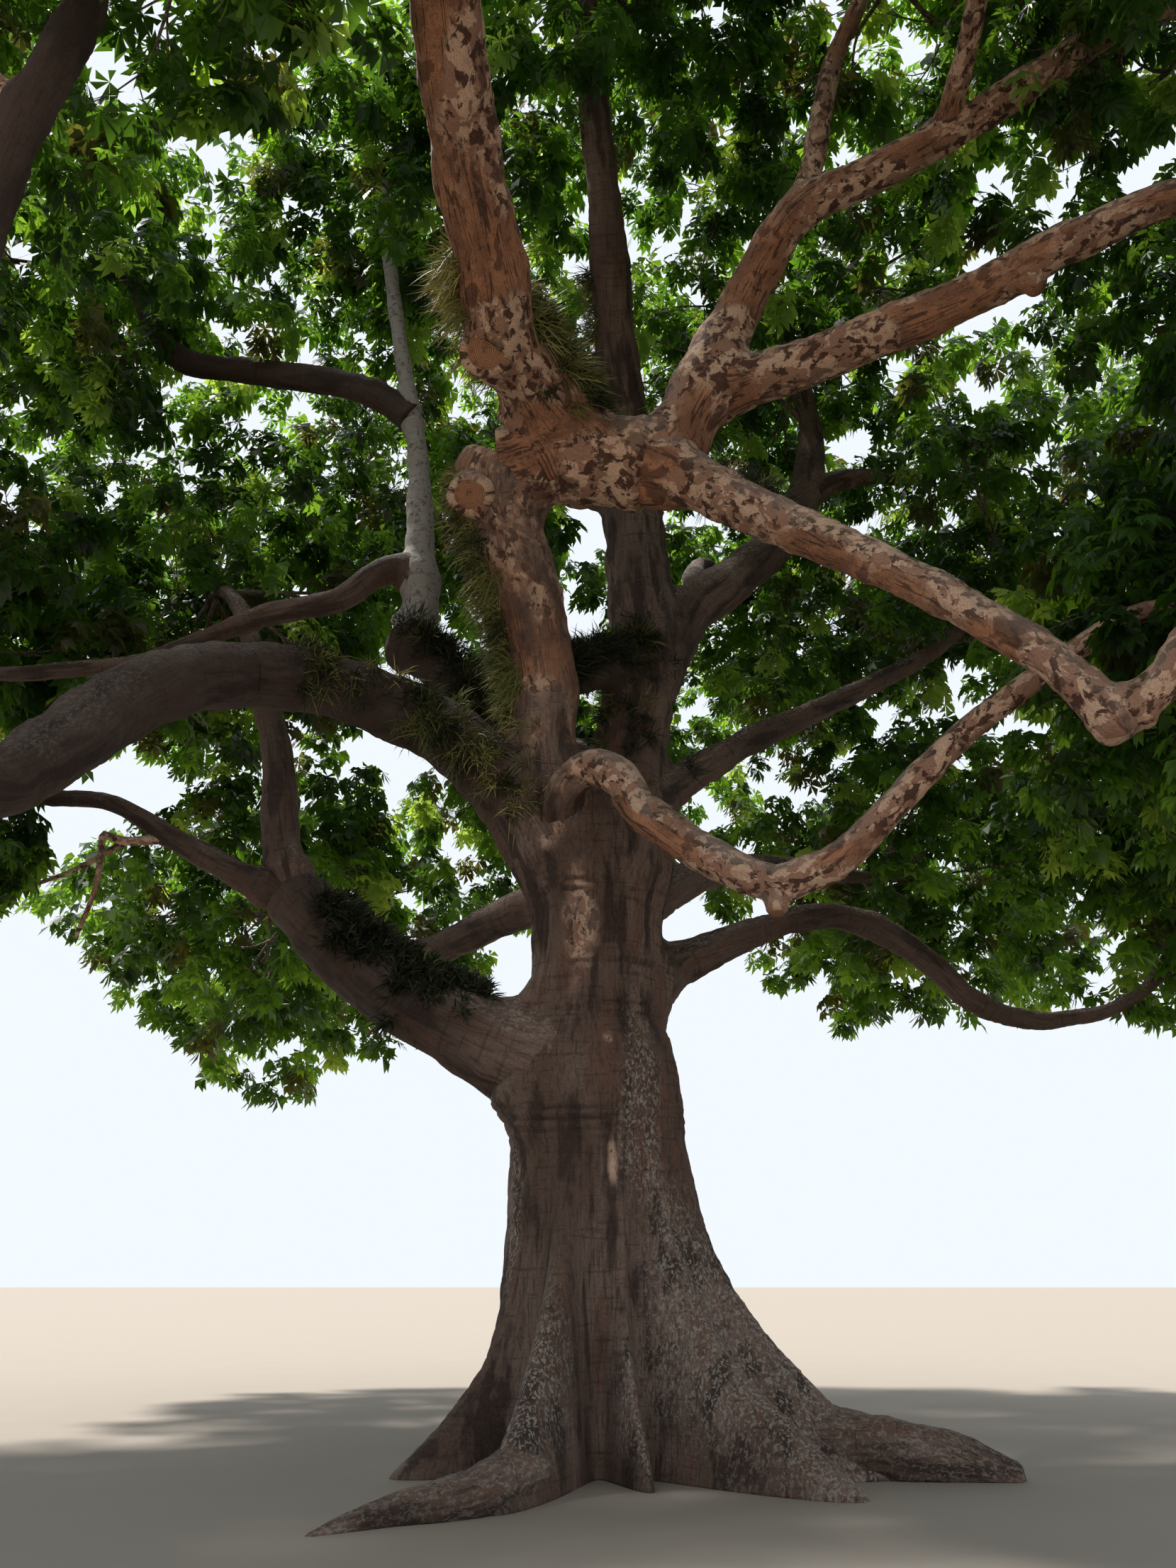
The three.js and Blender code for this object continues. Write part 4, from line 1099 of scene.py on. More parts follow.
def main_twigs(bough, index, count, random):
    """Twigs from the stem towards points spread over the mass's ellipsoid, as the solids' rule says."""
    stem = bough.centres[bough.stem_start:]
    share = np.linspace(*STEM_SHARE, count) * (len(stem) - 2)
    at = share.astype(int)
    start = mixed(stem[at], stem[at + 1], (share - at)[:, None])
    forward = unit(stem[at + 1] - stem[at])
    outward = spread_directions(count, 360 * random.random())[random.permutation(count)]
    reach = random.uniform(*TWIG_REACH, (count, 1))
    end = MASS_CENTRES[index] + outward * MASS_HALVES[index] * reach
    root = np.clip(MAIN_THINNESS * bough.radii[bough.stem_start + at], *MAIN_RADII)
    return fitted(start, forward, end, np.stack([root, MAIN_TAPER * root], axis=-1), index)


def side_twigs(parents, lengths, lift, index, random):
    """Twigs all round their parents, along cos(opening) forward + sin(opening) outward + lift up."""
    shape = (len(parents.start), SIDES_A_TWIG)
    share = (np.arange(SIDES_A_TWIG) + random.uniform(*SIDE_JITTER, shape)) / SIDES_A_TWIG
    start, forward, outward, radius = parents.sprouts(share, random)
    opening = np.radians(SIDE_SPREAD + random.normal(0, SIDE_SCATTER, (*shape, 1)))
    heading = unit(np.cos(opening) * forward + np.sin(opening) * outward + lift * UP)
    length = random.uniform(*lengths, (*shape, 1))
    root = radius * SIDE_THINNESS
    radii = np.stack([root, SIDE_TAPER * root], axis=-1)
    arrays = start, forward, start + heading * length, radii
    return fitted(*(array.reshape(-1, array.shape[-1]) for array in arrays), index)


def twig_skins(twigs, rings, sides):
    """Thin tubes along many curves at once, closed at the root and ending in a point."""
    t = np.linspace(0, 1, rings + 1)
    opened = twigs.opened()
    centres = opened.at(t[None, :, None])
    tangents = opened.heading(t[None, :, None])
    helper = unit(np.cross(tangents[:, 0], SKEW))[:, None]
    side = unit(helper - (helper * tangents).sum(-1, keepdims=True) * tangents)
    up = np.cross(tangents, side)
    angle = np.linspace(0, 2 * np.pi, sides, endpoint=False)[:, None]
    radius = twigs.radius(t[:-1])[:, :, None, None]
    rims = (centres[:, :-1, None]
            + radius * (np.cos(angle) * side[:, :-1, None] + np.sin(angle) * up[:, :-1, None]))
    count = len(centres)
    points = np.concatenate([rims.reshape(count, -1, 3), centres[:, -1:]], axis=1)
    i, j = np.meshgrid(np.arange(rings - 1), np.arange(sides), indexing="ij")
    here, beside = (i * sides + j).ravel(), (i * sides + (j + 1) % sides).ravel()
    first = np.stack([here, beside, beside + sides], axis=-1)
    second = np.stack([here, beside + sides, here + sides], axis=-1)
    rim = (rings - 1) * sides + np.arange(sides)
    tip = np.stack([rim, np.roll(rim, -1), np.full(sides, rings * sides)], axis=-1)
    root = np.stack([np.zeros(sides - 2, int), np.arange(2, sides), np.arange(1, sides - 1)], axis=-1)
    faces = np.concatenate([first, second, tip, root])
    per_twig = points.shape[1]
    return points.reshape(-1, 3), (faces[None] + per_twig * np.arange(count)[:, None, None]).reshape(-1, 3)


@dataclass
class Leaf:
    """A hand of leaflets: how far each is fanned out, how long it is, and one leaflet's outline and faces.

    A point of the outline is its place along the leaflet, across it as a share of its width, and its lift.
    """
    fans: np.ndarray
    sizes: np.ndarray
    outline: np.ndarray
    faces: np.ndarray


NEAR_LEAF = Leaf(
    np.radians([-132, -88, -44, 0, 44, 88, 132]),
    np.array([0.6, 0.8, 0.95, 1.0, 0.95, 0.8, 0.6]),
    np.array([[0, 0, 0], [0.58, -0.55, 0.3], [1, 0, 0], [0.58, 0.55, 0.3]]),
    np.array([[0, 2, 1], [0, 3, 2]]),
)
FAR_LEAF = Leaf(
    np.radians([-125, -72, -22, 30, 80, 130]),
    np.array([0.8, 1.0, 1.1, 1.1, 1.0, 0.8]),
    np.array([[0, 0, 0], [1, -0.12, 0], [0.62, 0.95, 0.3]]),
    np.array([[0, 1, 2]]),
)
# How far a leaflet's tip hangs, as a share of its length, and the width of a stalk
TIP_FALL = 0.16
STALK_WIDTH = 0.007
# A stalk points partly along its twig, mostly outwards and a little up, and its length varies
STALK_MIX = (0.55, 0.9, 0.1)
STALK_LENGTHS = (0.6, 1.15)
# A leaf's droop and the length of its leaflets vary by these shares, its tilt and the fanning at random
DROOPS = (0.45, 1.4)
LEAFLET_LENGTHS = (0.75, 1.15)
TILT = 0.25
FAN_SCATTER = 0.13
LEAFLET_SAG = 0.3


def leaf_hubs(twigs, foliage, random):
    """Where each leaf of each twig sits: foot on the twig, hub at the end of its stalk, and its heading."""
    shape = (len(twigs.start), foliage.leaves_per_twig)
    share = np.sqrt((np.arange(shape[1]) + random.uniform(0, 1, shape)) / shape[1])
    foot, forward, outward, _ = twigs.sprouts(share, random)
    along, out, up = STALK_MIX
    stalk = unit(along * forward + out * outward + up * UP)
    hub = foot + stalk * foliage.petiole * random.uniform(*STALK_LENGTHS, (*shape, 1))
    return foot, hub, stalk


def leaf_blades(hub, stalk, foliage, leaf, random):
    """Leaflets fanned round each hub: dir = cos(fan) forward + sin(fan) side, hanging by the droop."""
    count = len(hub)
    droop = foliage.droop * random.uniform(*DROOPS, (count, 1))
    level = unit(stalk * LEVEL + NOT_ZERO)
    forward = np.cos(droop) * level - np.sin(droop) * UP
    side = unit(np.cross(forward, UP) + TILT * random.normal(size=(count, 3)))
    fan = (leaf.fans[None] + random.normal(0, FAN_SCATTER, (count, len(leaf.fans))))[..., None]
    heading = unit(np.cos(fan) * forward[:, None] + np.sin(fan) * side[:, None] - LEAFLET_SAG * UP)
    face_up = np.cross(side, forward)[:, None]
    across = unit(np.cross(heading, face_up))
    lift = unit(np.cross(across, heading))
    length = foliage.leaflet_length * leaf.sizes * random.uniform(*LEAFLET_LENGTHS, (count, 1))
    length = length[..., None, None]
    width = length * foliage.leaflet_width
    along, sideways, raised = leaf.outline.T[..., None]
    points = (hub[:, None, None] + heading[:, :, None] * (length * along)
              + across[:, :, None] * (width * sideways) + lift[:, :, None] * (width * raised)
              - UP * (length * TIP_FALL * along ** 2))
    blades = points.shape[1] * count
    triangles = leaf.faces[None] + len(leaf.outline) * np.arange(blades)[:, None, None]
    return points.reshape(-1, 3), triangles.reshape(-1, 3)


def leaf_stalks(foot, hub):
    """A thin triangle from each leaf's foot to its hub."""
    across = unit(np.cross(hub - foot, UP) + NOT_ZERO) * STALK_WIDTH / 2
    points = np.stack([foot - across, foot + across, hub], axis=1)
    return points.reshape(-1, 3), np.arange(len(foot) * 3).reshape(-1, 3)


LEAF_KINDS = ("deep", "mid", "fresh", "young", "dull")
LEAF_SHARES = (0.36, 0.3, 0.2, 0.07, 0.07)
# Masses that the viewer sees from near by: their leaves have seven full leaflets and stalks
NEAR_MASSES = ("right_high_bough", "right_hook_rise", "right_mid_bough", "left_arch_side", "left_low_reach")


@dataclass
class Mass:
    """What grows from one bough: its twigs order by order, and each leaf kind's feet, hubs and stalks.

    The leaves' shapes are drawn on from the same random numbers.
    """
    name: str
    twigs: list
    leaves: dict
    random: np.random.Generator


def grown_mass(bough, bark_samples, foliage):
    """One mass of leaves by the seeded rule: main twigs, side twigs, last twigs and then leaves."""
    index = list(MASSES).index(bough.mass)
    random = np.random.default_rng(SEED_STEP * (index + 1))
    twigs = [main_twigs(bough, index, foliage.primary_twigs, random)]
    for lengths, lift in SIDE_ORDERS:
        twigs.append(side_twigs(twigs[-1], lengths, lift, index, random))
    foot, hub, stalk = leaf_hubs(twigs[-1], foliage, random)
    kinds = random.choice(len(LEAF_KINDS), len(foot), p=LEAF_SHARES)[:, None]
    fits = in_own_space(hub, index, LEAF_MARGIN)
    gap, _ = nearest_surface(hub.reshape(-1, 3), *bark_samples)
    fits &= (gap > LIMB_CLEARANCE).reshape(fits.shape)
    leaves = {}
    for k, kind in enumerate(LEAF_KINDS):
        chosen = fits & (kinds == k)
        leaves[kind] = (foot[chosen], hub[chosen], stalk[chosen])
    return Mass(bough.mass, twigs, leaves, random)


# Tufts of grass-like plants that perch on the boughs

TUFT_KINDS = ("dark", "olive", "straw")
# Limb, first and last share of it, heading and climb of the side they sit on, tufts, length and width of a
# blade, kind shares
TUFT_BANDS = (
    ("front_stem", 0.26, 0.95, 180, 0, 190, 0.36, 0.014, (0.25, 0.5, 0.25)),
    ("front_stem", 0.1, 0.6, 110, 10, 60, 0.34, 0.014, (0.8, 0.2, 0)),
    ("overhead_bough", 0.0, 0.34, 15, 30, 130, 0.42, 0.016, (0.4, 0.5, 0.1)),
    ("overhead_bough", 0.2, 0.42, 170, 20, 50, 0.42, 0.014, (0.1, 0.5, 0.4)),
    ("cross_limb", 0.2, 0.98, 300, 40, 110, 0.36, 0.016, (0.85, 0.15, 0)),
    ("elbow_bough", 0.3, 1.0, 250, 50, 100, 0.36, 0.016, (0.8, 0.2, 0)),
    ("left_arch_bough", 0.12, 0.42, 90, 80, 50, 0.34, 0.014, (0.8, 0.2, 0)),
    ("left_arch_bough", 0.2, 0.9, 262, 12, 110, 0.3, 0.014, (0.5, 0.4, 0.1)),
    ("left_low_bough", 0.34, 0.86, 265, 62, 130, 0.3, 0.03, (0.95, 0.05, 0)),
    ("top_leader", 0.1, 0.5, 180, 20, 50, 0.34, 0.014, (0.3, 0.6, 0.1)),
    ("back_stem", 0.2, 0.6, 250, 10, 50, 0.3, 0.014, (0.7, 0.3, 0)),
    ("right_back_bough", 0.08, 0.3, 90, 80, 16, 0.3, 0.014, (0.7, 0.3, 0)),
    ("right_fork_stem", 0.1, 0.8, 90, 30, 30, 0.34, 0.014, (0.6, 0.4, 0)),
    ("front_crossing", 0.0, 0.5, 90, 60, 50, 0.34, 0.014, (0.5, 0.5, 0)),
    ("right_sweep_bough", 0.05, 0.3, 60, 70, 18, 0.3, 0.014, (0.6, 0.3, 0.1)),
)
TUFT_SEED = 7
# A tuft's place: scatter round its side, share of the bough's radius, step for the bough's heading; its size
ROOT_SCATTER = 0.4
ROOT_DEPTH = 0.97
TANGENT_STEP = 0.05
TUFT_SIZES = (0.6, 1.15)
# Places along a blade where it has two sides, how far it falls, and how the blades of a tuft vary and spread
BLADE_SHARES = np.array([0, 0.55])
BLADE_FALL = 0.3
BLADE_LENGTHS = (0.5, 1.1)
BLADE_SPREAD = 0.65
BLADE_FEET = 0.05
# A blade that points out of the bough by less than this is turned outwards
LEAST_OUTWARD = 0.15
OUTWARD_TURN = 1.5


def tuft_roots(random):
    """Where the tufts sit: on each band's side of its limb, jittered round and along it."""
    routes = limb_routes()
    feet, outs, sizes, kinds = [], [], [], []
    for name, first, last, heading, climb, count, length, width, shares in TUFT_BANDS:
        route = routes[name]
        total = lengths_along(route)[-1]
        at = random.uniform(first, last, count) * total
        centre = resampled(route, route, at)
        radius = resampled(route, radii_along(LIMBS[name]["girth"], route), at)
        beyond, before = (resampled(route, route, at + step) for step in (TANGENT_STEP, -TANGENT_STEP))
        tangent = unit(beyond - before)
        wanted = heading_vector(heading, climb) + ROOT_SCATTER * random.normal(size=(count, 3))
        out = unit(wanted - (wanted * tangent).sum(-1, keepdims=True) * tangent)
        feet.append(centre + out * radius * ROOT_DEPTH)
        outs.append(out)
        sizes.append(np.array([length, width]) * random.uniform(*TUFT_SIZES, (count, 1)))
        kinds.append(random.choice(len(TUFT_KINDS), count, p=shares))
    return np.vstack(feet), np.vstack(outs), np.vstack(sizes), np.concatenate(kinds)


def tuft_blades(feet, outs, sizes, tufts, random):
    """Narrow blades: foot + length t dir - fall length t^2 up, tapering to a point."""
    count, blades = len(feet), tufts.blades
    heading = unit(outs[:, None] + BLADE_SPREAD * random.normal(size=(count, blades, 3)))
    outward = (heading * outs[:, None]).sum(-1, keepdims=True)
    heading = unit(heading + outs[:, None] * np.maximum(LEAST_OUTWARD - outward, 0) * OUTWARD_TURN)
    length = (sizes[:, :1] * random.uniform(*BLADE_LENGTHS, (count, blades)))[..., None]
    foot = feet[:, None] + BLADE_FEET * random.normal(size=(count, blades, 3))
    across = unit(np.cross(heading, random.normal(size=(count, blades, 3)))) * sizes[:, 1, None, None] / 2
    t = np.append(BLADE_SHARES, 1.0)[:, None]
    middle = (foot[:, :, None] + heading[:, :, None] * (length[:, :, None] * t)
              - UP * (length[:, :, None] * BLADE_FALL * t ** 2))
    width = across[:, :, None] * (1 - BLADE_SHARES[:, None] ** 2)
    points = np.concatenate([middle[:, :, :2] - width, middle[:, :, :2] + width, middle[:, :, 2:]], axis=2)
    faces = np.array([[0, 1, 3], [0, 3, 2], [1, 4, 3]])
    triangles = faces[None] + points.shape[2] * np.arange(count * blades)[:, None, None]
    return points.reshape(-1, 3), triangles.reshape(-1, 3)


# Joined pieces of many small things

# Rings along and faces round a twig, for main, side and last twigs
TWIG_RINGS = (6, 4, 2)
TWIG_SIDES = (5, 4, 3)
MOST_TRIANGLES = 190000


class Pile:
    """Points and triangles of many small things that become a few joined pieces."""

    def __init__(self, name, material, slot):
        self.name, self.material, self.slot = name, material, slot
        self.parts, self.nodes, self.count, self.pieces = [], [], 0, 0

    def add(self, points, triangles, node):
        """Adds one thing; a pile that would grow too large is closed first."""
        if self.count + len(triangles) > MOST_TRIANGLES:
            self.close()
        self.parts.append((points, triangles))
        self.count += len(triangles)
        if node not in self.nodes:
            self.nodes.append(node)

    def close(self):
        """Makes one piece of all that was added since the last one."""
        if not self.parts:
            return
        starts = np.cumsum([0] + [len(points) for points, _ in self.parts[:-1]])
        points = np.concatenate([points for points, _ in self.parts])
        corners = np.concatenate([triangles + start for (_, triangles), start in zip(self.parts, starts)])
        self.pieces += 1
        piece = triangle_piece(f"{self.name}_{self.pieces}", points, corners, self.material)
        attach(piece, "root")
        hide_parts(*self.nodes)
        self.parts, self.nodes, self.count = [], [], 0


# Materials

NOISE_ROUGHNESS = 0.6
PLANT_IOR = 1.45
WAX_IOR = 1.46
# Growth rings of sawn wood: 0.314 over their spacing in metres
RING_SCALE = 14.0


def add_node(tree, kind, inputs=None, **settings):
    """Adds a node with its settings; an input that is another node's socket is linked, any other is set."""
    node = tree.nodes.new(kind)
    for name, value in settings.items():
        setattr(node, name, value)
    for name, value in (inputs or {}).items():
        if isinstance(value, bpy.types.NodeSocket):
            tree.links.new(value, node.inputs[name])
        else:
            node.inputs[name].default_value = value
    return node


def new_material(name):
    """A node material with nothing in it yet, and its tree."""
    material = bpy.data.materials.new(name)
    material.use_nodes = True
    material.node_tree.nodes.clear()
    return material, material.node_tree


def per_metre(millimetres):
    """Scale of a pattern whose cells are this wide."""
    return 1000 / millimetres


def opaque(colour):
    """A colour for a socket, from a hex code or from red, green and blue; a socket stays as it is."""
    if isinstance(colour, bpy.types.NodeSocket):
        return colour
    return (*(from_hex(colour) if isinstance(colour, str) else colour), 1.0)


def pattern(tree, place, cell, stretch=1.0, detail=2.0, warp=0.0):
    """Noise whose cells are this many millimetres wide, and longer along the bark by the stretch."""
    mapped = add_node(tree, "ShaderNodeMapping", {"Vector": place, "Scale": (1, 1, 1 / stretch)})
    return add_node(tree, "ShaderNodeTexNoise", {
        "Vector": mapped.outputs["Vector"], "Scale": per_metre(cell), "Detail": detail,
        "Roughness": NOISE_ROUGHNESS, "Distortion": warp,
    }).outputs["Fac"]


def sum_of(tree, *values):
    """Values of the surface added up."""
    total = values[0]
    for value in values[1:]:
        total = add_node(tree, "ShaderNodeMath", {0: total, 1: value}, operation="ADD").outputs[0]
    return total


def share_of(tree, *parts):
    """A share of the surface: its parts multiplied.

    A part is a number, a value of the surface, or a smooth step of one. A step is the value, where the step
    starts and ends, and what it gives before and after, which is 0 and 1 unless stated.
    """
    share = None
    for part in parts:
        if isinstance(part, tuple):
            value, low, high, before, after = (*part, 0.0, 1.0)[:5]
            part = add_node(tree, "ShaderNodeMapRange", {
                "Value": value, "From Min": low, "From Max": high, "To Min": before, "To Max": after,
            }, interpolation_type="SMOOTHSTEP").outputs["Result"]
        if share is None:
            share = part
        else:
            share = add_node(tree, "ShaderNodeMath", {0: share, 1: part}, operation="MULTIPLY").outputs[0]
    return share


def layered(tree, base, *layers):
    """Colours laid over a base, one after another. A layer is its colour and the parts of its share."""
    base = opaque(base)
    for colour, *parts in layers:
        mix = add_node(tree, "ShaderNodeMix", {0: share_of(tree, *parts), 6: base, 7: opaque(colour)},
                       data_type="RGBA")
        base = mix.outputs[2]
    return base


def finish_bark(tree, colour, height, depth, roughness):
    """Bump from a height from 0 to 1, this many metres deep, under a matt shader."""
    bump = add_node(tree, "ShaderNodeBump", {"Height": height, "Distance": depth, "Strength": 1.0})
    shader = add_node(tree, "ShaderNodeBsdfPrincipled", {
        "Base Color": colour, "Roughness": roughness, "IOR": PLANT_IOR, "Normal": bump.outputs["Normal"],
    })
    add_node(tree, "ShaderNodeOutputMaterial", {"Surface": shader.outputs["BSDF"]})


def lines(tree, place, cell, stretch, width):
    """Thin cracks where a noise crosses its middle value, which run along the bark by the stretch."""
    waves = pattern(tree, place, cell, stretch, detail=1.0)
    return add_node(tree, "ShaderNodeMath", {0: waves, 1: 0.5, 2: width}, operation="COMPARE").outputs[0]


def old_bark(tree, bark, place, crust_and_highlight_share):
    """Colour and height of old bark.

    Purple-brown in broad zones, with dark stains about 240 mm wide that run down it, an upright grain 26 mm
    apart, wrinkles across it and a pale crust of lichen in flecks 30 mm wide where the bark is weathered; on
    a bough's upper side that pale crust is partly painted highlight.
    """
    broad = pattern(tree, place, 900, stretch=2.5)
    stains = pattern(tree, place, 240, stretch=5.0, detail=3.0, warp=0.2)
    grain = pattern(tree, place, 26, stretch=14.0, detail=3.0)
    wrinkles = pattern(tree, place, 420, stretch=0.1)
    flecks = pattern(tree, place, 30, stretch=1.8, detail=5.0, warp=0.8)
    fine = pattern(tree, place, 15, stretch=1.5, detail=4.0)
    colour = layered(
        tree, bark.old_colour,
        ("#7f6a5e", (broad, 0.38, 0.62)),
        ("#34241d", (stains, 0.38, 0.5, 0.85, 0.0)),
        ("#6f4d3e", (stains, 0.54, 0.66, 0.0, 0.65)),
        (bark.streak_and_shade_colour, (grain, 0.32, 0.52, 0.5, 0.0)),
        (bark.streak_and_shade_colour, (wrinkles, 0.34, 0.44, 0.4, 0.0)),
        # Pale crust where weathered, on a bough's upper side partly painted highlight
        (bark.lichen_colour, (flecks, 0.49, 0.6), (sum_of(tree, crust_and_highlight_share, broad), 0.6, 1.2, 0.06, 0.95)),
        (bark.streak_and_shade_colour, (fine, 0.36, 0.6, 0.3, 0.0)),
    )
    return colour, sum_of(tree, grain, wrinkles, fine, flecks)


def young_bark(tree, bark, place, crust_and_highlight_share):
    """Colour and height of the boughs' own bark.

    Most of it is torn into fragments 90 to 150 mm wide, buff, tan and dark red-brown. The rest, more of it
    below, is smooth and orange with long thin cracks. The upper side is weathered, partly as painted
    highlight, and mossy in places.
    """
    # The upper side, partly painted highlight, is torn more often
    zone = sum_of(tree, pattern(tree, place, 1100, stretch=1.8, detail=1.0), crust_and_highlight_share)
    flakes = pattern(tree, place, 150, stretch=1.5, detail=4.0, warp=0.4)
    chips = pattern(tree, place, 105, stretch=1.4, detail=4.5, warp=0.4)
    blotches = pattern(tree, place, 380, stretch=1.6, detail=3.0, warp=0.4)
    fine = pattern(tree, place, 14, stretch=1.5, detail=4.0)
    cracks = lines(tree, place, 75, stretch=16.0, width=0.03)
    smooth = layered(
        tree, "#8a5f47",
        (bark.smooth_colour, (blotches, 0.38, 0.6)),
        (bark.streak_and_shade_colour, cracks, (flakes, 0.4, 0.5), 0.75),
    )
    torn = layered(
        tree, bark.tan_colour,
        (bark.flake_colour, (flakes, 0.49, 0.51)),
        (bark.under_colour, (chips, 0.43, 0.455, 0.95, 0.0)),
    )
    moss = layered(tree, "#4d4a35", ("#9c8c80", (blotches, 0.4, 0.48)))
    colour = layered(
        tree, smooth,
        (torn, (zone, 0.41, 0.47)),
        (bark.under_colour, (blotches, 0.58, 0.62, 0.0, 0.7)),
        (bark.streak_and_shade_colour, (fine, 0.36, 0.6, 0.3, 0.0)),
        (moss, crust_and_highlight_share, (chips, 0.45, 0.55, 1.0, 0.5)),
    )
    return colour, sum_of(tree, flakes, share_of(tree, (chips, 0.43, 0.47)), fine)


def kapok_bark(name, bark):
    """Bark that is young where its age is 0 and old where it is 1.

    In between it is so in patches about 400 mm wide, and above 1 it is darkened with painted shade.
    """
    material, tree = new_material(name)
    place = add_node(tree, "ShaderNodeAttribute", attribute_name=BARK_PLACE).outputs["Vector"]
    # Lichen crust, and on a bough's upper side painted highlight too
    crust_and_highlight_share = add_node(tree, "ShaderNodeAttribute", attribute_name=CRUST_AND_HIGHLIGHT).outputs["Fac"]
    # The bark's age, which above 1 carries painted shade
    age = add_node(tree, "ShaderNodeAttribute", attribute_name=AGE_AND_SHADE).outputs["Fac"]
    patches = pattern(tree, place, 400, stretch=1.6, detail=3.0)
    share = share_of(tree, (sum_of(tree, age, patches), 0.8, 1.2))
    old_colour, old_height = old_bark(tree, bark, place, crust_and_highlight_share)
    young_colour, young_height = young_bark(tree, bark, place, crust_and_highlight_share)
    height = add_node(tree, "ShaderNodeMix", {0: share, 2: young_height, 3: old_height}, data_type="FLOAT")
    # Painted shade: bark with an age above 1 darkens towards the streak colour
    painted_shade = bark.streak_and_shade_colour, (age, 1.0, 1.6, 0.0, 0.7)
    colour = layered(tree, young_colour, (old_colour, share), painted_shade)
    finish_bark(tree, colour, height.outputs[0], depth=0.011, roughness=0.88)
    return material


def pale_bark():
    """Smoother young bark of the pale stem: light grey, with dark flecks and rings."""
    material, tree = new_material("pale_young_kapok_bark")
    place = add_node(tree, "ShaderNodeAttribute", attribute_name=BARK_PLACE).outputs["Vector"]
    flecks = share_of(tree, (pattern(tree, place, 60, stretch=1.2, detail=3.0, warp=0.3), 0.56, 0.64))
    rings = pattern(tree, place, 240, stretch=0.16)
    fine = pattern(tree, place, 14, detail=4.0)
    colour = layered(
        tree, "#736c66",
        ("#a8a19a", fine),
        ("#5e5049", flecks, 0.75),
        ("#6b615b", (rings, 0.58, 0.66), 0.5),
    )
    height = add_node(tree, "ShaderNodeMath", {0: fine, 1: flecks}, operation="SUBTRACT").outputs[0]
    finish_bark(tree, colour, height, depth=0.006, roughness=0.8)
    return material


def cut_wood():
    """Sawn wood gone tan and brown, with growth rings about 22 mm apart and dark blotches."""
    material, tree = new_material("weathered_sawn_wood")
    place = add_node(tree, "ShaderNodeAttribute", attribute_name=BARK_PLACE).outputs["Vector"]
    rings = add_node(tree, "ShaderNodeTexWave", {
        "Vector": place, "Scale": RING_SCALE, "Distortion": 4.0, "Detail": 3.0,
    }, wave_type="RINGS", rings_direction="Z").outputs["Fac"]
    blotches = pattern(tree, place, 90, detail=3.0)
    colour = layered(tree, "#6d4732", ("#b5835f", rings), ("#5a3f33", (blotches, 0.5, 0.7, 0.0, 0.7)))
    finish_bark(tree, colour, rings, depth=0.004, roughness=0.85)
    return material


def twig_bark():
    """Bark of the twigs: brown-grey, with paler lenticels drawn 30 mm wide, so that they show."""
    material, tree = new_material("kapok_twig_bark")
    place = add_node(tree, "ShaderNodeTexCoord").outputs["Object"]
    fine = pattern(tree, place, 30, detail=3.0)
    colour = layered(tree, "#4f4238", ("#8d8074", (fine, 0.4, 0.62)))
    finish_bark(tree, colour, fine, depth=0.003, roughness=0.85)
    return material


# Leaf kinds: colour of the leaf, colour of the light that comes through it, share that comes through
LEAF_COLOURS = {
    "deep": ("#1b3011", "#5f8c1e", 0.36),
    "mid": ("#2b481c", "#7db02a", 0.42),
    "fresh": ("#42652b", "#a0cf38", 0.48),
    "young": ("#668540", "#c4e052", 0.52),
    "dull": ("#3a3f23", "#8a8a34", 0.34),
}


def leaf_green(kind):
    """A living kapok leaf: waxy on top, so it has a soft shine, and thin enough to glow from behind."""
    colour, through, share = LEAF_COLOURS[kind]
    material, tree = new_material(f"kapok_leaf_{kind}_green")
    face = add_node(tree, "ShaderNodeBsdfPrincipled", {
        "Base Color": opaque(colour), "Roughness": 0.4, "IOR": WAX_IOR,
    })
    glow = add_node(tree, "ShaderNodeBsdfTranslucent", {"Color": opaque(through)})
    both = add_node(tree, "ShaderNodeMixShader", {
        "Fac": share, 1: face.outputs["BSDF"], 2: glow.outputs["BSDF"],
    })
    add_node(tree, "ShaderNodeOutputMaterial", {"Surface": both.outputs["Shader"]})
    return material


TUFT_COLOURS = {"dark": "#2a2f1d", "olive": "#6c6f3a", "straw": "#a8a060"}


def tuft_green(kind):
    """Blades of a perching plant: matt and fibrous."""
    material, tree = new_material(f"perching_grass_{kind}")
    shader = add_node(tree, "ShaderNodeBsdfPrincipled", {
        "Base Color": opaque(TUFT_COLOURS[kind]), "Roughness": 0.6, "IOR": PLANT_IOR,
    })
    add_node(tree, "ShaderNodeOutputMaterial", {"Surface": shader.outputs["BSDF"]})
    return material


# Stage

IMAGE_HEIGHT = 2212
FOCAL_PIXELS = 1661
SENSOR = 36.0
CAMERA_PLACE = (0.0, -13.0, 1.6)
CAMERA_PITCH = 23.0
FLOOR_HALF = 600.0
SUN_HEADING = 150.0
SUN_HEIGHT = 64.0
SUN_SOFTNESS = 5.0
SUN_COLOUR = (1.0, 0.97, 0.92)
FLOOR_SHADE = 0.94
FLOOR_GRAIN = 900


def add_camera():
    """Level with a standing viewer's eyes, looking up at the tree."""
    data = bpy.data.cameras.new("viewer")
    data.sensor_width = SENSOR
    data.lens = SENSOR * FOCAL_PIXELS / IMAGE_HEIGHT
    data.clip_end = 2 * FLOOR_HALF
    camera = bpy.data.objects.new("viewer", data)
    camera.location = CAMERA_PLACE
    camera.rotation_euler = (math.radians(90 + CAMERA_PITCH), 0, 0)
    bpy.context.scene.collection.objects.link(camera)
    bpy.context.scene.camera = camera


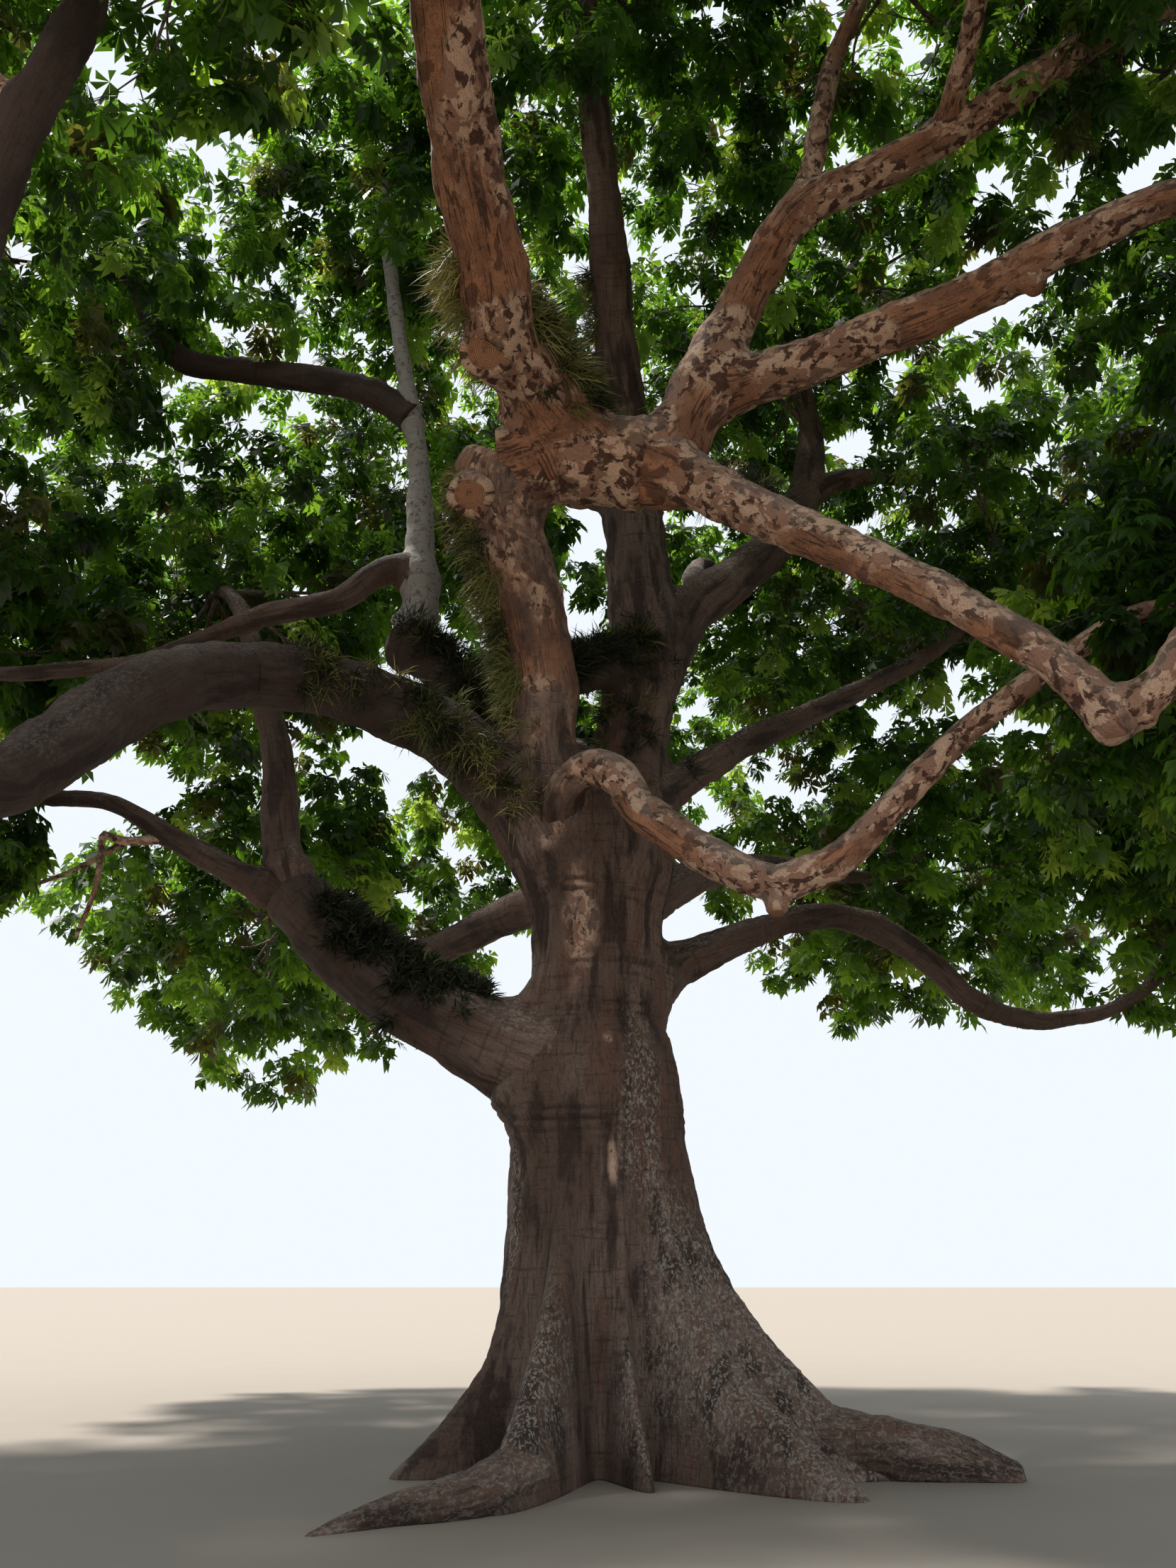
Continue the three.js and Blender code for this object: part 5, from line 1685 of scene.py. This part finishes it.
def add_floor(colour):
    """A level square far wider than the tree, its shade varying very little."""
    points = FLOOR_HALF * np.array([(-1, -1, 0), (1, -1, 0), (1, 1, 0), (-1, 1, 0)])
    material, tree = new_material("pale_studio_floor")
    place = add_node(tree, "ShaderNodeTexCoord").outputs["Object"]
    grain = pattern(tree, place, FLOOR_GRAIN)
    shade = layered(tree, tuple(channel * FLOOR_SHADE for channel in colour), (colour, grain))
    finish_bark(tree, shade, grain, depth=0.002, roughness=0.95)
    new_piece("studio_floor", points, np.arange(4), np.array([4]), material)


def add_lights(settings):
    """Pale surroundings, and one soft key light from high on the left, behind the tree."""
    world = bpy.data.worlds.new("pale_surroundings")
    world.use_nodes = True
    background = world.node_tree.nodes["Background"]
    background.inputs["Color"].default_value = opaque(settings.sky_colour)
    background.inputs["Strength"].default_value = settings.sky_strength
    bpy.context.scene.world = world
    data = bpy.data.lights.new("soft_key", "SUN")
    data.energy = settings.sun_strength
    data.angle = math.radians(SUN_SOFTNESS)
    data.color = SUN_COLOUR
    key = bpy.data.objects.new("soft_key", data)
    key.rotation_euler = (math.radians(90 - SUN_HEIGHT), 0, math.radians(90 + SUN_HEADING))
    bpy.context.scene.collection.objects.link(key)


# Operators, one for each group of pieces and one for the stage

class KAPOK_OT_stage(bpy.types.Operator):
    """Adds the floor, the lights and the camera"""
    bl_idname = "kapok.stage"
    bl_label = "Stage"

    def execute(self, context):
        settings = context.scene.kapok_stage
        add_floor(tuple(settings.floor_colour))
        add_lights(settings)
        add_camera()
        context.scene.view_settings.view_transform = "Standard"
        return {"FINISHED"}


class KAPOK_OT_trunk(bpy.types.Operator):
    """Covers the trunk and its roots with bark"""
    bl_idname = "kapok.trunk"
    bl_label = "Trunk"

    def execute(self, context):
        bark = context.scene.kapok_bark
        material = kapok_bark("old_kapok_bark", bark)
        others = samples_of(all_boughs(bark.ring_spacing))
        skins = [trunk_skin(others, bark, material)]
        skins += [surface_root(index, bark, material) for index in range(len(SURFACE_ROOTS))]
        for skin in skins:
            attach(skin, "root")
            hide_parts("trunk")
        return {"FINISHED"}


class KAPOK_OT_boughs(bpy.types.Operator):
    """Covers every bough with bark and closes the sawn stubs"""
    bl_idname = "kapok.boughs"
    bl_label = "Boughs"

    def execute(self, context):
        bark = context.scene.kapok_bark
        flaking = kapok_bark("flaking_kapok_bark", bark)
        pale = pale_bark()
        sawn = cut_wood()
        boughs = all_boughs(bark.ring_spacing)
        trunk = trunk_samples()
        for number, bough in enumerate(boughs):
            near = samples_of([other for other in boughs if other is not bough])
            others = np.vstack([near[0], trunk[0]]), np.concatenate([near[1], trunk[1]])
            material = pale if bough.name == "pale_stem" else flaking
            skin = bough_skin(bough, others, bark, BOUGH_SEED + SEEDS_A_BOUGH * number, material)
            if bough.is_cut:
                show_cut(skin, sawn)
            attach(skin, "root")
            if bough.name in LIMBS:
                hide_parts(*bough.limbs)
        return {"FINISHED"}


class KAPOK_OT_foliage(bpy.types.Operator):
    """Grows twigs and leaves from the tip of every bough that carries a mass of leaves"""
    bl_idname = "kapok.foliage"
    bl_label = "Twigs and leaves"

    def execute(self, context):
        foliage = context.scene.kapok_foliage
        boughs = all_boughs(context.scene.kapok_bark.ring_spacing)
        samples = samples_of(boughs)
        twigs = Pile("twigs", twig_bark(), "bough_bark")
        piles = {kind: Pile(f"leaves_{kind}", leaf_green(kind), "leaves") for kind in LEAF_KINDS}
        for bough in (one for one in boughs if one.mass):
            mass = grown_mass(bough, samples, foliage)
            node = f"leaves_{mass.name}"
            for group, rings, sides in zip(mass.twigs, TWIG_RINGS, TWIG_SIDES):
                twigs.add(*twig_skins(group, rings, sides), node)
            near = mass.name in NEAR_MASSES
            leaf = NEAR_LEAF if near else FAR_LEAF
            for kind, (foot, hub, stalk) in mass.leaves.items():
                piles[kind].add(*leaf_blades(hub, stalk, foliage, leaf, mass.random), node)
                if near:
                    piles[kind].add(*leaf_stalks(foot, hub), node)
        for pile in (twigs, *piles.values()):
            pile.close()
        return {"FINISHED"}


class KAPOK_OT_tufts(bpy.types.Operator):
    """Sets tufts of perching plants on the boughs"""
    bl_idname = "kapok.tufts"
    bl_label = "Tufts"

    def execute(self, context):
        tufts = context.scene.kapok_tufts
        random = np.random.default_rng(TUFT_SEED)
        feet, outs, sizes, kinds = tuft_roots(random)
        for k, kind in enumerate(TUFT_KINDS):
            chosen = kinds == k
            points, triangles = tuft_blades(feet[chosen], outs[chosen], sizes[chosen], tufts, random)
            piece = triangle_piece(f"tufts_{kind}", points, triangles, tuft_green(kind))
            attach(piece, "root")
        return {"FINISHED"}


class KAPOK_PT_panel(bpy.types.Panel):
    """Lists the steps that dress the tree"""
    bl_label = "Kapok tree"
    bl_idname = "KAPOK_PT_panel"
    bl_space_type = "VIEW_3D"
    bl_region_type = "UI"
    bl_category = "Kapok"

    def draw(self, context):
        for settings in (getattr(context.scene, name) for name in SETTINGS):
            for name in type(settings).__annotations__:
                self.layout.prop(settings, name)
        for step in STEPS:
            self.layout.operator(step.bl_idname)


SETTINGS = {"kapok_bark": KapokBark, "kapok_foliage": KapokFoliage, "kapok_tufts": KapokTufts,
            "kapok_stage": KapokStage}
STEPS = (KAPOK_OT_stage, KAPOK_OT_trunk, KAPOK_OT_boughs, KAPOK_OT_foliage, KAPOK_OT_tufts)
CLASSES = (*SETTINGS.values(), *STEPS, KAPOK_PT_panel)


def register():
    for one in CLASSES:
        bpy.utils.register_class(one)
    for name, group in SETTINGS.items():
        setattr(bpy.types.Scene, name, bpy.props.PointerProperty(type=group))


def unregister():
    for name in SETTINGS:
        delattr(bpy.types.Scene, name)
    for one in reversed(CLASSES):
        bpy.utils.unregister_class(one)


def main():
    register()
    bpy.ops.kapok.stage()
    bpy.ops.kapok.trunk()
    bpy.ops.kapok.boughs()
    bpy.ops.kapok.foliage()
    bpy.ops.kapok.tufts()


if __name__ == "__main__":
    main()
